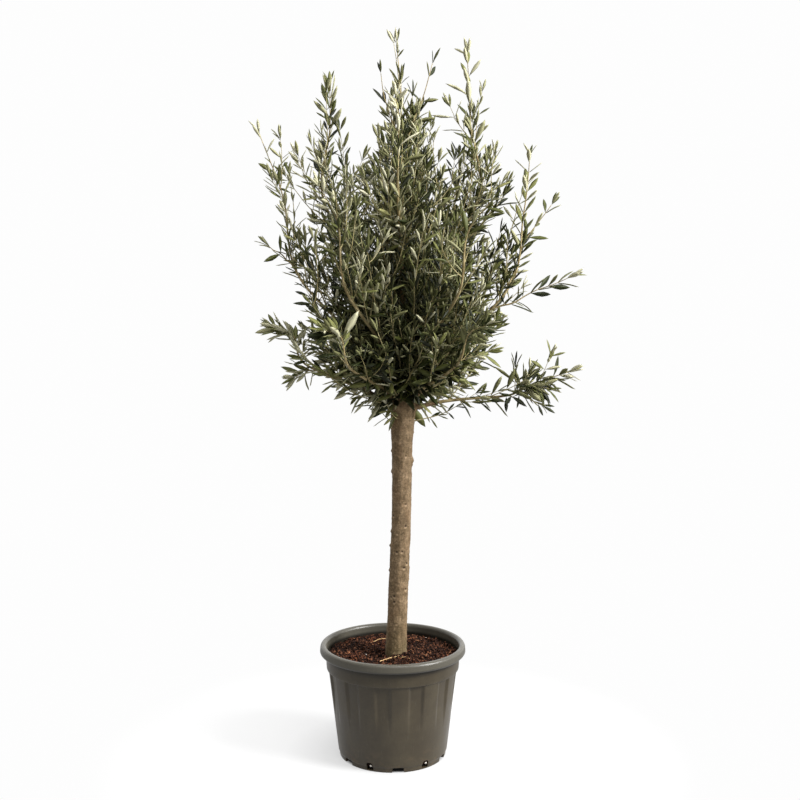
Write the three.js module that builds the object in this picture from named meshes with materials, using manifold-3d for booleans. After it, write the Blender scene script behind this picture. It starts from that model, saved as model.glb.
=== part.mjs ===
// A potted olive tree: a clean-stemmed standard, its crown of upswept shoots, in a fluted nursery pot.
// Millimetres, +Z up. The origin is the centre of the pot's flat underside, and -Y is the front.
import * as THREE from 'three';
import { mergeVertices } from 'three/addons/utils/BufferGeometryUtils.js';
import Module from 'manifold-3d';

const wasm = await Module();
wasm.setup();

// ---- Driving dimensions ----------------------------------------------------------------------

const SEAT_GAP = 0.35; // clearance left between pieces that touch

const POT_HEIGHT = 308;
const POT_FOOT_RADIUS = 148;
const POT_WALL = 3;
const POT_SIDES = 48;
const COLLAR_HEIGHT = 238; // the plain band starts here, above the flutes
const COLLAR_RADIUS = 181;
const COLLAR_STEP = 4; // how far the band stands out from the wall below it
const NECK_RADIUS = 184; // the wall where it meets the rim
const RIM_RADIUS = 200;
const RIM_DEPTH = 22;
const RIM_ROUNDING = 5;
const RIM_MOUTH_RADIUS = 182;
const FLUTES = 12;
const FLUTE_DEPTH = 3;
const FLUTE_END_HEIGHT = 100; // the flutes have run out by this height
const INNER_BEND_HEIGHT = COLLAR_HEIGHT - 12; // the inner face opens out to the rim above this
const FLOOR_TOP = 12;
const FLOOR_RECESS = 8; // how far the floor is lifted between the centre foot and the ring foot
const CENTRE_FOOT_RADIUS = 60;
const RING_FOOT_WIDTH = 8;
const FOOT_CHAMFER = 2;
const DRAIN_NOTCH = { width: 34, height: 12 };
const DRAIN_HOLE = { width: 20, low: 3.5, high: 24 };
const FIRST_NOTCH_DEG = -84;

const SOIL_HEIGHT = 278;
const SOIL_SIDES = 18;
const SOIL_UNEVENNESS = 4;
const SOIL_MOUND = 3; // how far the soil rises round the stem
const STEM_SOCKET_DEPTH = 16;

// The stem's stations, from its flat foot to its head: height, sideways lean, radius.
const STEM_SIDES = 12;
const STEM_FORWARD = 2; // the stem stands a little to the front of the pot's middle
const STEM_STATIONS = [
  [SOIL_HEIGHT - STEM_SOCKET_DEPTH, 9, 33],
  [SOIL_HEIGHT + 4, 9, 30],
  [330, 11, 28],
  [420, 14, 27.5],
  [510, 18, 27],
  [600, 22, 26.5],
  [690, 25, 26.5],
  [780, 25, 27],
  [860, 25, 28],
  [915, 27, 32],
  [960, 29, 34],
  [1005, 30, 30],
  [1022, 30, 22],
];
const HEAD = new THREE.Vector3(30, 0, 965); // the point that the boughs spread from

const BOUGH_SIDES = 6;
const BOUGH_STEPS = 4;
const BOUGH_SEATED_IN_MASS = 30; // how far a bough's tip runs into its mass

const UNEVENNESS = 0.13; // of a mass's own half thickness
const BODY_OVERRUN = 0.2; // how far a body runs past each end of its axis, as a share of the axis
const BODY = { sides: 8, rings: 5 };
const SHOOT = { sides: 7, rings: 4 };

// The limbs. Each is a bough, the body of foliage on it, and the shoots that stand out of that body.
// turn: degrees round the stem, 0 to the right and -90 to the front. tier: how high its bough starts.
// low and high: the ends of the body's axis as [out from the stem's head, height].
// wide and deep: half the body's breadth round the crown, and half its thickness across that.
// Each shoot is [how far along the body it leaves, its tip's turn, out and height, its half thickness].
const LIMBS = [
  { name: 'skirt_right', turn: -6, tier: 'low',
    low: [75, 974], high: [255, 990], wide: 92, deep: 50,
    shoots: [[0.9, -4, 470, 1066, 52]] },
  { name: 'skirt_back_right', turn: 54, tier: 'low',
    low: [75, 1000], high: [288, 1158], wide: 118, deep: 84,
    shoots: [[0.9, 50, 395, 1206, 52]] },
  { name: 'skirt_back_left', turn: 122, tier: 'low',
    low: [75, 1000], high: [276, 1150], wide: 118, deep: 84,
    shoots: [[0.9, 124, 385, 1196, 52]] },
  { name: 'skirt_left', turn: 182, tier: 'low',
    low: [75, 990], high: [262, 1132], wide: 108, deep: 80,
    shoots: [[0.8, 178, 378, 1192, 48], [0.7, 188, 318, 1034, 40]] },
  { name: 'skirt_front_left', turn: -119, tier: 'low',
    low: [75, 1000], high: [270, 1146], wide: 114, deep: 82,
    shoots: [[0.9, -124, 375, 1186, 50]] },
  { name: 'skirt_front_right', turn: -62, tier: 'low',
    low: [75, 1000], high: [274, 1148], wide: 114, deep: 82,
    shoots: [[0.9, -56, 385, 1196, 50]] },

  { name: 'waist_right', turn: 2, tier: 'middle',
    low: [105, 1105], high: [290, 1325], wide: 124, deep: 104,
    shoots: [[0.4, -3, 473, 1322, 44], [0.9, 6, 418, 1528, 54], [1.1, -2, 335, 1655, 58]] },
  { name: 'waist_back_right', turn: 60, tier: 'middle',
    low: [100, 1120], high: [266, 1385], wide: 134, deep: 106,
    shoots: [[0.9, 56, 400, 1540, 64]] },
  { name: 'waist_back_left', turn: 120, tier: 'middle',
    low: [100, 1120], high: [266, 1385], wide: 134, deep: 106,
    shoots: [[0.9, 118, 395, 1560, 64]] },
  { name: 'waist_left', turn: 180, tier: 'middle',
    low: [105, 1120], high: [288, 1405], wide: 124, deep: 106,
    shoots: [[0.9, 180, 392, 1714, 56], [0.6, 186, 382, 1408, 52]] },
  { name: 'waist_front_left', turn: -121, tier: 'middle',
    low: [100, 1120], high: [262, 1380], wide: 132, deep: 104,
    shoots: [[0.9, -124, 385, 1540, 62]] },
  { name: 'waist_front_right', turn: -60, tier: 'middle',
    low: [100, 1120], high: [266, 1380], wide: 132, deep: 104,
    shoots: [[0.9, -56, 395, 1500, 62]] },

  { name: 'top_left', turn: 170, tier: 'high',
    low: [95, 1350], high: [210, 1640], wide: 98, deep: 84,
    shoots: [[0.9, 174, 197, 1846, 50]] },
  { name: 'top_back', turn: 86, tier: 'high',
    low: [70, 1350], high: [180, 1648], wide: 116, deep: 96,
    shoots: [[0.9, 84, 215, 1800, 56]] },
  { name: 'top_right', turn: 0, tier: 'high',
    low: [80, 1340], high: [192, 1618], wide: 114, deep: 106,
    shoots: [[0.9, 8, 168, 1925, 50]] },
  { name: 'top_front', turn: -94, tier: 'high',
    low: [70, 1350], high: [176, 1636], wide: 116, deep: 94,
    shoots: [[0.9, -96, 205, 1770, 54]] },
  { name: 'leader', turn: 180, tier: 'centre',
    low: [0, 1430], high: [4, 1700], wide: 92, deep: 84,
    shoots: [[0.9, 190, 21, 1948, 44], [0.8, 4, 84, 1898, 44], [0.7, 178, 66, 1872, 42]] },
];

// The boughs of each tier. out and rise: where they leave the stem, out from its middle and up from HEAD.
// root and tip: their radii. sweep: how much of the climb is made before they turn towards the mass.
const TIERS = {
  low: { out: 24, rise: -8, root: 10.5, tip: 6, sweep: 0.45 },
  middle: { out: 22, rise: 24, root: 10, tip: 6, sweep: 0.35 },
  high: { out: 15, rise: 46, root: 7, tip: 5.5, sweep: 0.3 },
  centre: { out: 0, rise: 48, root: 7.5, tip: 5.5, sweep: 0 },
};

// ---- Shapes and solids -----------------------------------------------------------------------

// A repeatable value from -1 to 1 for a whole-number address.
function unevenAt(a, b, c) {
  const wave = Math.sin(a * 12.9898 + b * 78.233 + c * 37.719) * 43758.5453;
  return 2 * (wave - Math.floor(wave)) - 1;
}

// A closed surface through rings of equal count, with a pole at each end.
// The rings run anticlockwise about the way the loft goes.
function loft(rings, firstPole, lastPole) {
  const count = rings[0].length;
  const places = [...rings.flat(), firstPole, lastPole];
  const first = rings.length * count;
  const last = first + 1;
  const faces = [];
  for (let side = 0; side < count; side++) {
    const next = (side + 1) % count;
    faces.push(first, next, side);
    for (let ring = 0; ring + 1 < rings.length; ring++) {
      const here = ring * count;
      const above = here + count;
      faces.push(here + side, here + next, above + next);
      faces.push(here + side, above + next, above + side);
    }
    const end = (rings.length - 1) * count;
    faces.push(last, end + side, end + next);
  }
  return new THREE.BufferGeometry().setFromPoints(places).setIndex(faces);
}

// A level ring about the Z axis, its radius and height given by functions of the angle.
function levelRing(sides, radiusAt, heightAt) {
  return Array.from({ length: sides }, (_, side) => {
    const angle = (side / sides) * 2 * Math.PI;
    const radius = radiusAt(angle);
    return new THREE.Vector3(radius * Math.cos(angle), radius * Math.sin(angle), heightAt(angle));
  });
}

// A ring round a point, square to an axis.
function ringAbout(centre, axis, sides, radiusAt) {
  const turn = new THREE.Quaternion().setFromUnitVectors(new THREE.Vector3(0, 0, 1), axis);
  return Array.from({ length: sides }, (_, side) => {
    const angle = (side / sides) * 2 * Math.PI;
    const radius = radiusAt(side);
    return new THREE.Vector3(radius * Math.cos(angle), radius * Math.sin(angle), 0)
      .applyQuaternion(turn)
      .add(centre);
  });
}

function toSolid(geometry) {
  const bare = geometry.clone();
  bare.deleteAttribute('normal');
  bare.deleteAttribute('uv');
  const merged = mergeVertices(bare, 1e-4);
  return new wasm.Manifold(new wasm.Mesh({
    numProp: 3,
    vertProperties: merged.attributes.position.array,
    triVerts: new Uint32Array(merged.index.array),
  }));
}

function toGeometry(solid) {
  const mesh = solid.getMesh();
  return new THREE.BufferGeometry()
    .setAttribute('position', new THREE.BufferAttribute(mesh.vertProperties, 3))
    .setIndex(new THREE.BufferAttribute(mesh.triVerts, 1));
}

// The largest single body of a solid that cutting may have left in pieces.
function mainBody(solid) {
  return solid.decompose().reduce((best, body) => (body.volume() > best.volume() ? body : best));
}

// ---- Pot -------------------------------------------------------------------------------------

// How deep the flutes are at this angle: 1 in a flute, 0 on the land between two.
function fluteAt(angle) {
  const share = ((angle / (2 * Math.PI)) * FLUTES) % 1;
  return share > 0.45 && share < 0.95 ? 1 : 0;
}

// The wall's outer face on the lands, below the collar.
function wallRadius(height) {
  return THREE.MathUtils.mapLinear(height, 0, COLLAR_HEIGHT, POT_FOOT_RADIUS, COLLAR_RADIUS - COLLAR_STEP);
}

// The wall's plain inner face, which keeps behind the flutes.
function innerRadius(height) {
  const climb = THREE.MathUtils.clamp(
    (height - FLUTE_END_HEIGHT) / (INNER_BEND_HEIGHT - FLUTE_END_HEIGHT), 0, 1);
  return wallRadius(height) - POT_WALL - FLUTE_DEPTH * climb;
}

function potShell() {
  const fluted = (height) => {
    const run = THREE.MathUtils.clamp((height - FLUTE_END_HEIGHT) / (COLLAR_HEIGHT - FLUTE_END_HEIGHT), 0, 1);
    return (angle) => wallRadius(height) - FLUTE_DEPTH * run * fluteAt(angle);
  };
  const rimBottom = POT_HEIGHT - RIM_DEPTH;
  const profile = [
    [CENTRE_FOOT_RADIUS, 0],
    [CENTRE_FOOT_RADIUS + 6, FLOOR_RECESS],
    [POT_FOOT_RADIUS - RING_FOOT_WIDTH - 6, FLOOR_RECESS],
    [POT_FOOT_RADIUS - RING_FOOT_WIDTH - FOOT_CHAMFER, 0],
    [POT_FOOT_RADIUS - FOOT_CHAMFER, 0],
    [wallRadius(3 * FOOT_CHAMFER), 3 * FOOT_CHAMFER],
    [wallRadius(FLUTE_END_HEIGHT), FLUTE_END_HEIGHT],
    [fluted(COLLAR_HEIGHT - 2), COLLAR_HEIGHT - 2],
    [COLLAR_RADIUS, COLLAR_HEIGHT],
    [NECK_RADIUS, rimBottom + 3],
    [RIM_RADIUS - 3, rimBottom],
    [RIM_RADIUS, rimBottom + RIM_ROUNDING],
    [RIM_RADIUS - 2, POT_HEIGHT - RIM_ROUNDING],
    [RIM_RADIUS - 2 - RIM_ROUNDING, POT_HEIGHT],
    [RIM_MOUTH_RADIUS + 2, POT_HEIGHT],
    [RIM_MOUTH_RADIUS - 1, POT_HEIGHT - RIM_ROUNDING],
    [RIM_MOUTH_RADIUS - 2, COLLAR_HEIGHT + 20],
    [innerRadius(INNER_BEND_HEIGHT), INNER_BEND_HEIGHT],
    [innerRadius(FLUTE_END_HEIGHT), FLUTE_END_HEIGHT],
    [innerRadius(FLOOR_TOP), FLOOR_TOP],
  ];
  const rings = profile.map(([radius, height]) =>
    levelRing(POT_SIDES, typeof radius === 'function' ? radius : () => radius, () => height));
  return toSolid(loft(rings, new THREE.Vector3(0, 0, 0), new THREE.Vector3(0, 0, FLOOR_TOP)));
}

// A block that cuts one drain opening through the wall at this angle.
function drainCutter(angleDeg, width, low, high) {
  const inner = POT_FOOT_RADIUS - 16;
  const outer = POT_FOOT_RADIUS + 12;
  const block = new THREE.BoxGeometry(outer - inner, width, high - low);
  block.translate((outer + inner) / 2, 0, (high + low) / 2);
  block.rotateZ(THREE.MathUtils.degToRad(angleDeg));
  return toSolid(block);
}

function makePot() {
  let pot = potShell();
  const pitch = 360 / FLUTES;
  for (let place = 0; place < FLUTES; place++) {
    const angle = FIRST_NOTCH_DEG + place * pitch;
    const cutter = place % 2 === 0
      ? drainCutter(angle, DRAIN_NOTCH.width, -5, DRAIN_NOTCH.height)
      : drainCutter(angle, DRAIN_HOLE.width, DRAIN_HOLE.low, DRAIN_HOLE.high);
    pot = pot.subtract(cutter);
  }
  return pot;
}

// ---- Soil ------------------------------------------------------------------------------------

function makeSoil(stemHollow) {
  // Its few flat sides meet the pot's wall only at their corners, so it keeps three gaps' width inside.
  const flat = (radius, height) => levelRing(SOIL_SIDES, () => radius, () => height);
  const against = (height) => flat(innerRadius(height) - 3 * SEAT_GAP, height);
  const edge = RIM_MOUTH_RADIUS - 4 - 3 * SEAT_GAP;
  const lumpy = (radius, seed) => levelRing(SOIL_SIDES, () => radius,
    (angle) => SOIL_HEIGHT + SOIL_UNEVENNESS * unevenAt(seed, Math.round(angle * 4), 1));
  const low = FLOOR_TOP + SEAT_GAP;
  const rings = [
    flat(innerRadius(low) / 2, low),
    against(low),
    against(FLUTE_END_HEIGHT),
    against(INNER_BEND_HEIGHT),
    flat(edge - 2, SOIL_HEIGHT - 2 * SOIL_UNEVENNESS),
    lumpy(edge * 0.82, 1),
    lumpy(edge * 0.5, 2),
  ];
  const underside = new THREE.Vector3(0, 0, low);
  const top = new THREE.Vector3(0, 0, SOIL_HEIGHT + SOIL_MOUND);
  return toSolid(loft(rings, underside, top)).subtract(stemHollow);
}

// ---- Stem and boughs -------------------------------------------------------------------------

function makeStem(growth = 0) {
  const rings = STEM_STATIONS.map(([height, lean, radius], station) =>
    levelRing(STEM_SIDES, () => radius + growth, () => height + (station === 0 ? -growth : 0)).map((place) =>
      place.add(new THREE.Vector3(lean, -STEM_FORWARD, 0))));
  const [footHeight, footLean] = STEM_STATIONS[0];
  const [headHeight, headLean] = STEM_STATIONS.at(-1);
  return toSolid(loft(
    rings,
    new THREE.Vector3(footLean, -STEM_FORWARD, footHeight - growth),
    new THREE.Vector3(headLean, -STEM_FORWARD, headHeight + 6 + growth),
  ));
}

// A place given round the stem's head: degrees of turn, distance out, height.
function aroundHead(turnDeg, out, height) {
  const turn = THREE.MathUtils.degToRad(turnDeg);
  return new THREE.Vector3(HEAD.x + out * Math.cos(turn), HEAD.y + out * Math.sin(turn), height);
}

function boughCurve(limb) {
  const tier = TIERS[limb.tier];
  const root = aroundHead(limb.turn, tier.out, HEAD.z + tier.rise);
  const bodyLow = aroundHead(limb.turn, ...limb.low);
  const bodyHigh = aroundHead(limb.turn, ...limb.high);
  const onward = bodyHigh.clone().sub(bodyLow).normalize();
  const end = bodyLow.clone().addScaledVector(onward, BOUGH_SEATED_IN_MASS);
  const out = THREE.MathUtils.lerp(tier.out, limb.low[0], 1 - tier.sweep);
  const rise = THREE.MathUtils.lerp(root.z, limb.low[1], tier.sweep);
  return new THREE.QuadraticBezierCurve3(root, aroundHead(limb.turn, out, rise), end);
}

function makeBough(limb, growth = 0) {
  const tier = TIERS[limb.tier];
  const curve = boughCurve(limb);
  const rings = [];
  for (let step = 0; step <= BOUGH_STEPS; step++) {
    const share = step / BOUGH_STEPS;
    const radius = THREE.MathUtils.lerp(tier.root, tier.tip, share) + growth;
    rings.push(ringAbout(curve.getPoint(share), curve.getTangent(share), BOUGH_SIDES, () => radius));
  }
  const start = curve.getPoint(0).addScaledVector(curve.getTangent(0), -growth);
  const end = curve.getPoint(1).addScaledVector(curve.getTangent(1), 2 + growth);
  return toSolid(loft(rings, start, end));
}

// ---- Foliage ---------------------------------------------------------------------------------

// Half thickness along a mass, as a share of its fullest, from its root to its tip.
const bodyProfile = (share) => Math.pow(Math.sin(Math.PI * Math.pow(share, 1.25)), 0.6);
const shootProfile = (share) => Math.min(0.75 + share, 1) * Math.pow(Math.min((1 - share) / 0.7, 1), 0.7);

// Every mass of foliage before it is cut to its neighbours.
function plannedMasses() {
  return LIMBS.flatMap((limb) => {
    const low = aroundHead(limb.turn, ...limb.low);
    const high = aroundHead(limb.turn, ...limb.high);
    const outward = aroundHead(limb.turn, 1, HEAD.z).sub(HEAD);
    const body = {
      name: 'foliage_' + limb.name, from: low, to: high, outward, wide: limb.wide, deep: limb.deep,
      overrun: BODY_OVERRUN, profile: bodyProfile, ...BODY,
    };
    const shoots = limb.shoots.map(([along, turn, out, height, half], index) => ({
      name: 'shoot_' + limb.name + '_' + (index + 1), from: low.clone().lerp(high, along),
      to: aroundHead(turn, out, height), outward, wide: half, deep: half,
      overrun: 0, profile: shootProfile, ...SHOOT,
    }));
    return [body, ...shoots];
  });
}

function massSolid(mass, seed, growth = 0) {
  const run = mass.to.clone().sub(mass.from);
  const along = run.clone().normalize();
  const across = new THREE.Vector3().crossVectors(along, mass.outward).normalize();
  const through = new THREE.Vector3().crossVectors(along, across);
  const start = mass.from.clone().addScaledVector(run, -mass.overrun).addScaledVector(along, -growth);
  const end = mass.to.clone().addScaledVector(run, mass.overrun).addScaledVector(along, growth);
  const rings = [];
  for (let ring = 1; ring <= mass.rings; ring++) {
    const share = ring / (mass.rings + 1);
    const centre = start.clone().lerp(end, share);
    rings.push(Array.from({ length: mass.sides }, (_, side) => {
      const angle = (side / mass.sides) * 2 * Math.PI;
      const reach = mass.profile(share) * (1 + UNEVENNESS * unevenAt(seed, ring, side));
      return centre.clone()
        .addScaledVector(across, (mass.wide * reach + growth) * Math.cos(angle))
        .addScaledVector(through, (mass.deep * reach + growth) * Math.sin(angle));
    }));
  }
  return toSolid(loft(rings, start, end));
}

const PASSES_TO_NEAREST = 60;

// The nearest points of two axes, found by going back and forth between them.
function nearestPoints(a, b) {
  const lineA = new THREE.Line3(a.from, a.to);
  const lineB = new THREE.Line3(b.from, b.to);
  let onA = a.from.clone().lerp(a.to, 0.5);
  let onB = new THREE.Vector3();
  for (let pass = 0; pass < PASSES_TO_NEAREST; pass++) {
    onB = lineB.closestPointToPoint(onA, true, new THREE.Vector3());
    onA = lineA.closestPointToPoint(onB, true, new THREE.Vector3());
  }
  return [onA, onB];
}

// A block that fills the far side of a plane.
function farSide(point, normal) {
  const size = 3000; // more than the tree's own height
  const block = new THREE.BoxGeometry(size, size, size);
  block.translate(0, 0, size / 2);
  block.applyQuaternion(new THREE.Quaternion().setFromUnitVectors(new THREE.Vector3(0, 0, 1), normal));
  block.translate(point.x, point.y, point.z);
  return toSolid(block);
}

// Parts each pair of bodies, and each pair of shoots, by a plane between their axes. A shoot is also cut
// back to the outside of every body, and all are hollowed round the wood.
function makeMasses(wood) {
  const planned = plannedMasses();
  const solids = planned.map((mass, index) => massSolid(mass, index + 1));
  const isBody = (mass) => mass.profile === bodyProfile;
  planned.forEach((a, i) => planned.forEach((b, j) => {
    if (j <= i || isBody(a) !== isBody(b) || solids[i].intersect(solids[j]).isEmpty()) return;
    const [onA, onB] = nearestPoints(a, b);
    const normal = onB.clone().sub(onA).normalize();
    const middle = onA.clone().lerp(onB, (a.wide + a.deep) / (a.wide + a.deep + b.wide + b.deep));
    const back = normal.clone().multiplyScalar(SEAT_GAP / 2);
    solids[i] = mainBody(solids[i].subtract(farSide(middle.clone().sub(back), normal)));
    solids[j] = mainBody(solids[j].subtract(farSide(middle.clone().add(back), normal.clone().negate())));
  }));
  planned.forEach((shoot, i) => {
    if (isBody(shoot)) return;
    planned.forEach((body, j) => {
      if (isBody(body)) solids[i] = mainBody(solids[i].subtract(massSolid(body, j + 1, SEAT_GAP)));
    });
  });
  return planned.map((mass, index) => [mass.name, mainBody(solids[index].subtract(wood))]);
}

// ---- Assembly --------------------------------------------------------------------------------

const plastic = new THREE.MeshStandardMaterial({ color: 0x57544e, roughness: 0.55, metalness: 0 });
const compost = new THREE.MeshStandardMaterial({ color: 0x43261a, roughness: 0.95, metalness: 0 });
const bark = new THREE.MeshStandardMaterial({ color: 0x7b6a54, roughness: 0.85, metalness: 0 });
const leaves = new THREE.MeshStandardMaterial({ color: 0x4d5233, roughness: 0.6, metalness: 0 });

const tree = new THREE.Group();

function place(name, solid, material) {
  const mesh = new THREE.Mesh(toGeometry(solid), material);
  mesh.name = name;
  tree.add(mesh);
}

const stem = makeStem();
const stemClearance = makeStem(SEAT_GAP);
place('pot', makePot(), plastic);
place('soil', makeSoil(stemClearance), compost);
place('trunk', stem, bark);

let wood = stemClearance;
for (const limb of LIMBS) {
  place('bough_' + limb.name, mainBody(makeBough(limb).subtract(stemClearance)), bark);
  wood = wood.add(makeBough(limb, SEAT_GAP));
}
for (const [name, solid] of makeMasses(wood)) place(name, solid, leaves);

export default tree;
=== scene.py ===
# %% [markdown]
# # A potted olive tree
# This lesson builds a young olive grown as a standard: one bare stem with a head of upswept shoots, in a
# fluted nursery pot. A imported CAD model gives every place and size. It holds the pot, the soil, the stem,
# the boughs and one closed solid for each mass of foliage. The lesson puts the looks over that frame: a pot
# wall with flutes and drains, loose potting mix, bark with relief, and leaves that grow by a branching rule
# until they fill the masses.

import math
import random

import bmesh
import bpy
import numpy as np
from mathutils import Matrix, Vector, noise
from mathutils.bvhtree import BVHTree
from mathutils.kdtree import KDTree


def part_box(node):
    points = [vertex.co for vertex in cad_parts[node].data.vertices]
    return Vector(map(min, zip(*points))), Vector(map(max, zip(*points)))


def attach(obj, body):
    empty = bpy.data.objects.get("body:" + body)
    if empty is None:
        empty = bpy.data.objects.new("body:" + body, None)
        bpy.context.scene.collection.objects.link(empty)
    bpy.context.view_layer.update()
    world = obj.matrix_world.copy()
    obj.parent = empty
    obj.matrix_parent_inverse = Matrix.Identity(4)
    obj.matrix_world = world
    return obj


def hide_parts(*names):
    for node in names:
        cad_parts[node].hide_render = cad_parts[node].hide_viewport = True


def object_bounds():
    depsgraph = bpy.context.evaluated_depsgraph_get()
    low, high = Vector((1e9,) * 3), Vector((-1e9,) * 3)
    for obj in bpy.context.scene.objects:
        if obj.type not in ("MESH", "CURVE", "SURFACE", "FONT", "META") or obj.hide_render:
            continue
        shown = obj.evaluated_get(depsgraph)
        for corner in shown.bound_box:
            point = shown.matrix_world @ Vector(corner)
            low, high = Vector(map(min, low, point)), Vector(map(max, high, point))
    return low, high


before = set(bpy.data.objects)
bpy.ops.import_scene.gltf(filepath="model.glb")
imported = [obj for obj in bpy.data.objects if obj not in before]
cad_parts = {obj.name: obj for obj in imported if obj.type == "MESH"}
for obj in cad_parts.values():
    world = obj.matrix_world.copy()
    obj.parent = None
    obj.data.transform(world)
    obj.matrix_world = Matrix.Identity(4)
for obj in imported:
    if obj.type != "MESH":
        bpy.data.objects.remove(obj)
CAD_LOW, CAD_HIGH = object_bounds()
MM = 0.001
UP = Vector((0, 0, 1))
print("frame from", [round(v, 3) for v in CAD_LOW], "to", [round(v, 3) for v in CAD_HIGH])

# %% [markdown]
# ## Hand tools
# An operator acts on everything that is selected, so each step first clears the selection and then takes up
# one piece. In edit mode the corners to be worked on are picked by a rule about their place. These few
# helpers do that, so that the cells below read like a list of what a hand would do.


# %% Taking pieces up
def take_up(piece):
    bpy.ops.object.select_all(action="DESELECT")
    piece.select_set(True)
    bpy.context.view_layer.objects.active = piece


def open_for_edit(piece, mode="VERT"):
    take_up(piece)
    bpy.ops.object.mode_set(mode="EDIT")
    bpy.ops.mesh.select_mode(type=mode)
    bpy.ops.mesh.select_all(action="DESELECT")


def close_edit():
    bpy.ops.object.mode_set(mode="OBJECT")


def pick_corners(piece, rule):
    shape = bmesh.from_edit_mesh(piece.data)
    for corner in shape.verts:
        corner.select_set(rule(corner.co))
    shape.select_flush(True)
    bmesh.update_edit_mesh(piece.data)


# %% Joining, smoothing and finishing pieces
def join(pieces, name):
    take_up(pieces[0])
    for piece in pieces:
        piece.select_set(True)
    bpy.ops.object.join()
    joined = bpy.context.view_layer.objects.active
    joined.name = name
    return joined


def apply_place(piece):
    take_up(piece)
    bpy.ops.object.transform_apply(location=True, rotation=True, scale=True)


def apply_modifiers(piece):
    take_up(piece)
    for modifier in list(piece.modifiers):
        bpy.ops.object.modifier_apply(modifier=modifier.name)


def count_triangles(piece):
    return sum(len(face.vertices) - 2 for face in piece.data.polygons)


def finish_piece(piece, name, nodes):
    piece.name = name
    piece.data.name = name
    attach(piece, "root")
    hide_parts(*nodes)
    print(f"{name}: {count_triangles(piece)} triangles")


# %% Mesh straight from arrays
def mesh_piece(name, corners, faces, face_slots=None, smooth=True):
    """A piece from an array of corners and an array of faces that all have the same number of corners."""
    mesh = bpy.data.meshes.new(name)
    count, sides = faces.shape
    mesh.vertices.add(len(corners))
    mesh.vertices.foreach_set("co", np.asarray(corners, np.float32).ravel())
    mesh.loops.add(count * sides)
    mesh.loops.foreach_set("vertex_index", np.asarray(faces, np.int32).ravel())
    mesh.polygons.add(count)
    mesh.polygons.foreach_set("loop_start", np.arange(0, count * sides, sides, dtype=np.int32))
    if face_slots is not None:
        mesh.polygons.foreach_set("material_index", np.asarray(face_slots, np.int32))
    mesh.polygons.foreach_set("use_smooth", np.full(count, smooth))
    mesh.update(calc_edges=True)
    piece = bpy.data.objects.new(name, mesh)
    bpy.context.scene.collection.objects.link(piece)
    return piece


# %% [markdown]
# ## Node helpers
# Each finish is a small net of nodes, and each helper below adds one kind of node and hands on its output.
# Two effects come back on several finishes, so each is a node group: `mottle` breaks one colour up into three
# at a chosen scale, and `fine_relief` gives a height for the Bump node. Both read Object coordinates, so the
# pattern stays fixed to the piece.


# %% Wiring
def srgb(red, green, blue):
    """A paint given as 0 to 255 on a screen, turned into the linear colour that shaders take."""
    shares = (red / 255, green / 255, blue / 255)
    return (*(s / 12.92 if s <= 0.04045 else ((s + 0.055) / 1.055) ** 2.4 for s in shares), 1.0)


def add_node(tree, kind, inputs, **settings):
    """A new node. Each input named here gets a value, or is linked to another node's output."""
    node = tree.nodes.new("ShaderNode" + kind)
    for setting, value in settings.items():
        setattr(node, setting, value)
    for socket, value in inputs.items():
        if isinstance(value, bpy.types.NodeSocket):
            tree.links.new(value, node.inputs[socket])
        else:
            node.inputs[socket].default_value = value
    return node


def blend(tree, factor, low, high, mode="MIX", kind="RGBA"):
    """A Mix node between two colours, or between two numbers if its kind is FLOAT."""
    inputs = {"Factor": factor, "A": low, "B": high}
    return add_node(tree, "Mix", inputs, data_type=kind, blend_type=mode).outputs["Result"]


def reach(tree, value, start, end, low=0.0, high=1.0, easing="LINEAR"):
    """A Map Range node: start to end in, low to high out, held at both ends."""
    inputs = {"Value": value, "From Min": start, "From Max": end, "To Min": low, "To Max": high}
    return add_node(tree, "MapRange", inputs, interpolation_type=easing).outputs["Result"]


def sums(tree, operation, first, second):
    return add_node(tree, "Math", {0: first, 1: second}, operation=operation).outputs["Value"]


def object_place(tree):
    return add_node(tree, "TexCoord", {}).outputs["Object"]


def object_height(tree):
    return add_node(tree, "SeparateXYZ", {"Vector": object_place(tree)}).outputs["Z"]


def stretched_place(tree, wide, high):
    """Object coordinates in which one unit is a patch so many metres wide and high."""
    inputs = {"Vector": object_place(tree), "Scale": (1 / wide, 1 / wide, 1 / high)}
    return add_node(tree, "Mapping", inputs).outputs["Vector"]


def noise_at(tree, place, detail=3.0, roughness=0.5, scale=1.0):
    inputs = {"Vector": place, "Scale": scale, "Detail": detail, "Roughness": roughness}
    return add_node(tree, "TexNoise", inputs).outputs["Fac"]


def tinted(tree, tone, mask, strength, paint):
    """A tone with a paint laid over it where a mask is high."""
    return blend(tree, sums(tree, "MULTIPLY", mask, strength), tone, srgb(*paint))


def new_material(name, roughness=0.7, gloss=0.5):
    material = bpy.data.materials.new(name)
    material.use_nodes = True
    shader = material.node_tree.nodes["Principled BSDF"]
    shader.inputs["Roughness"].default_value = roughness
    shader.inputs["Specular IOR Level"].default_value = gloss
    return material, material.node_tree, shader


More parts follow.
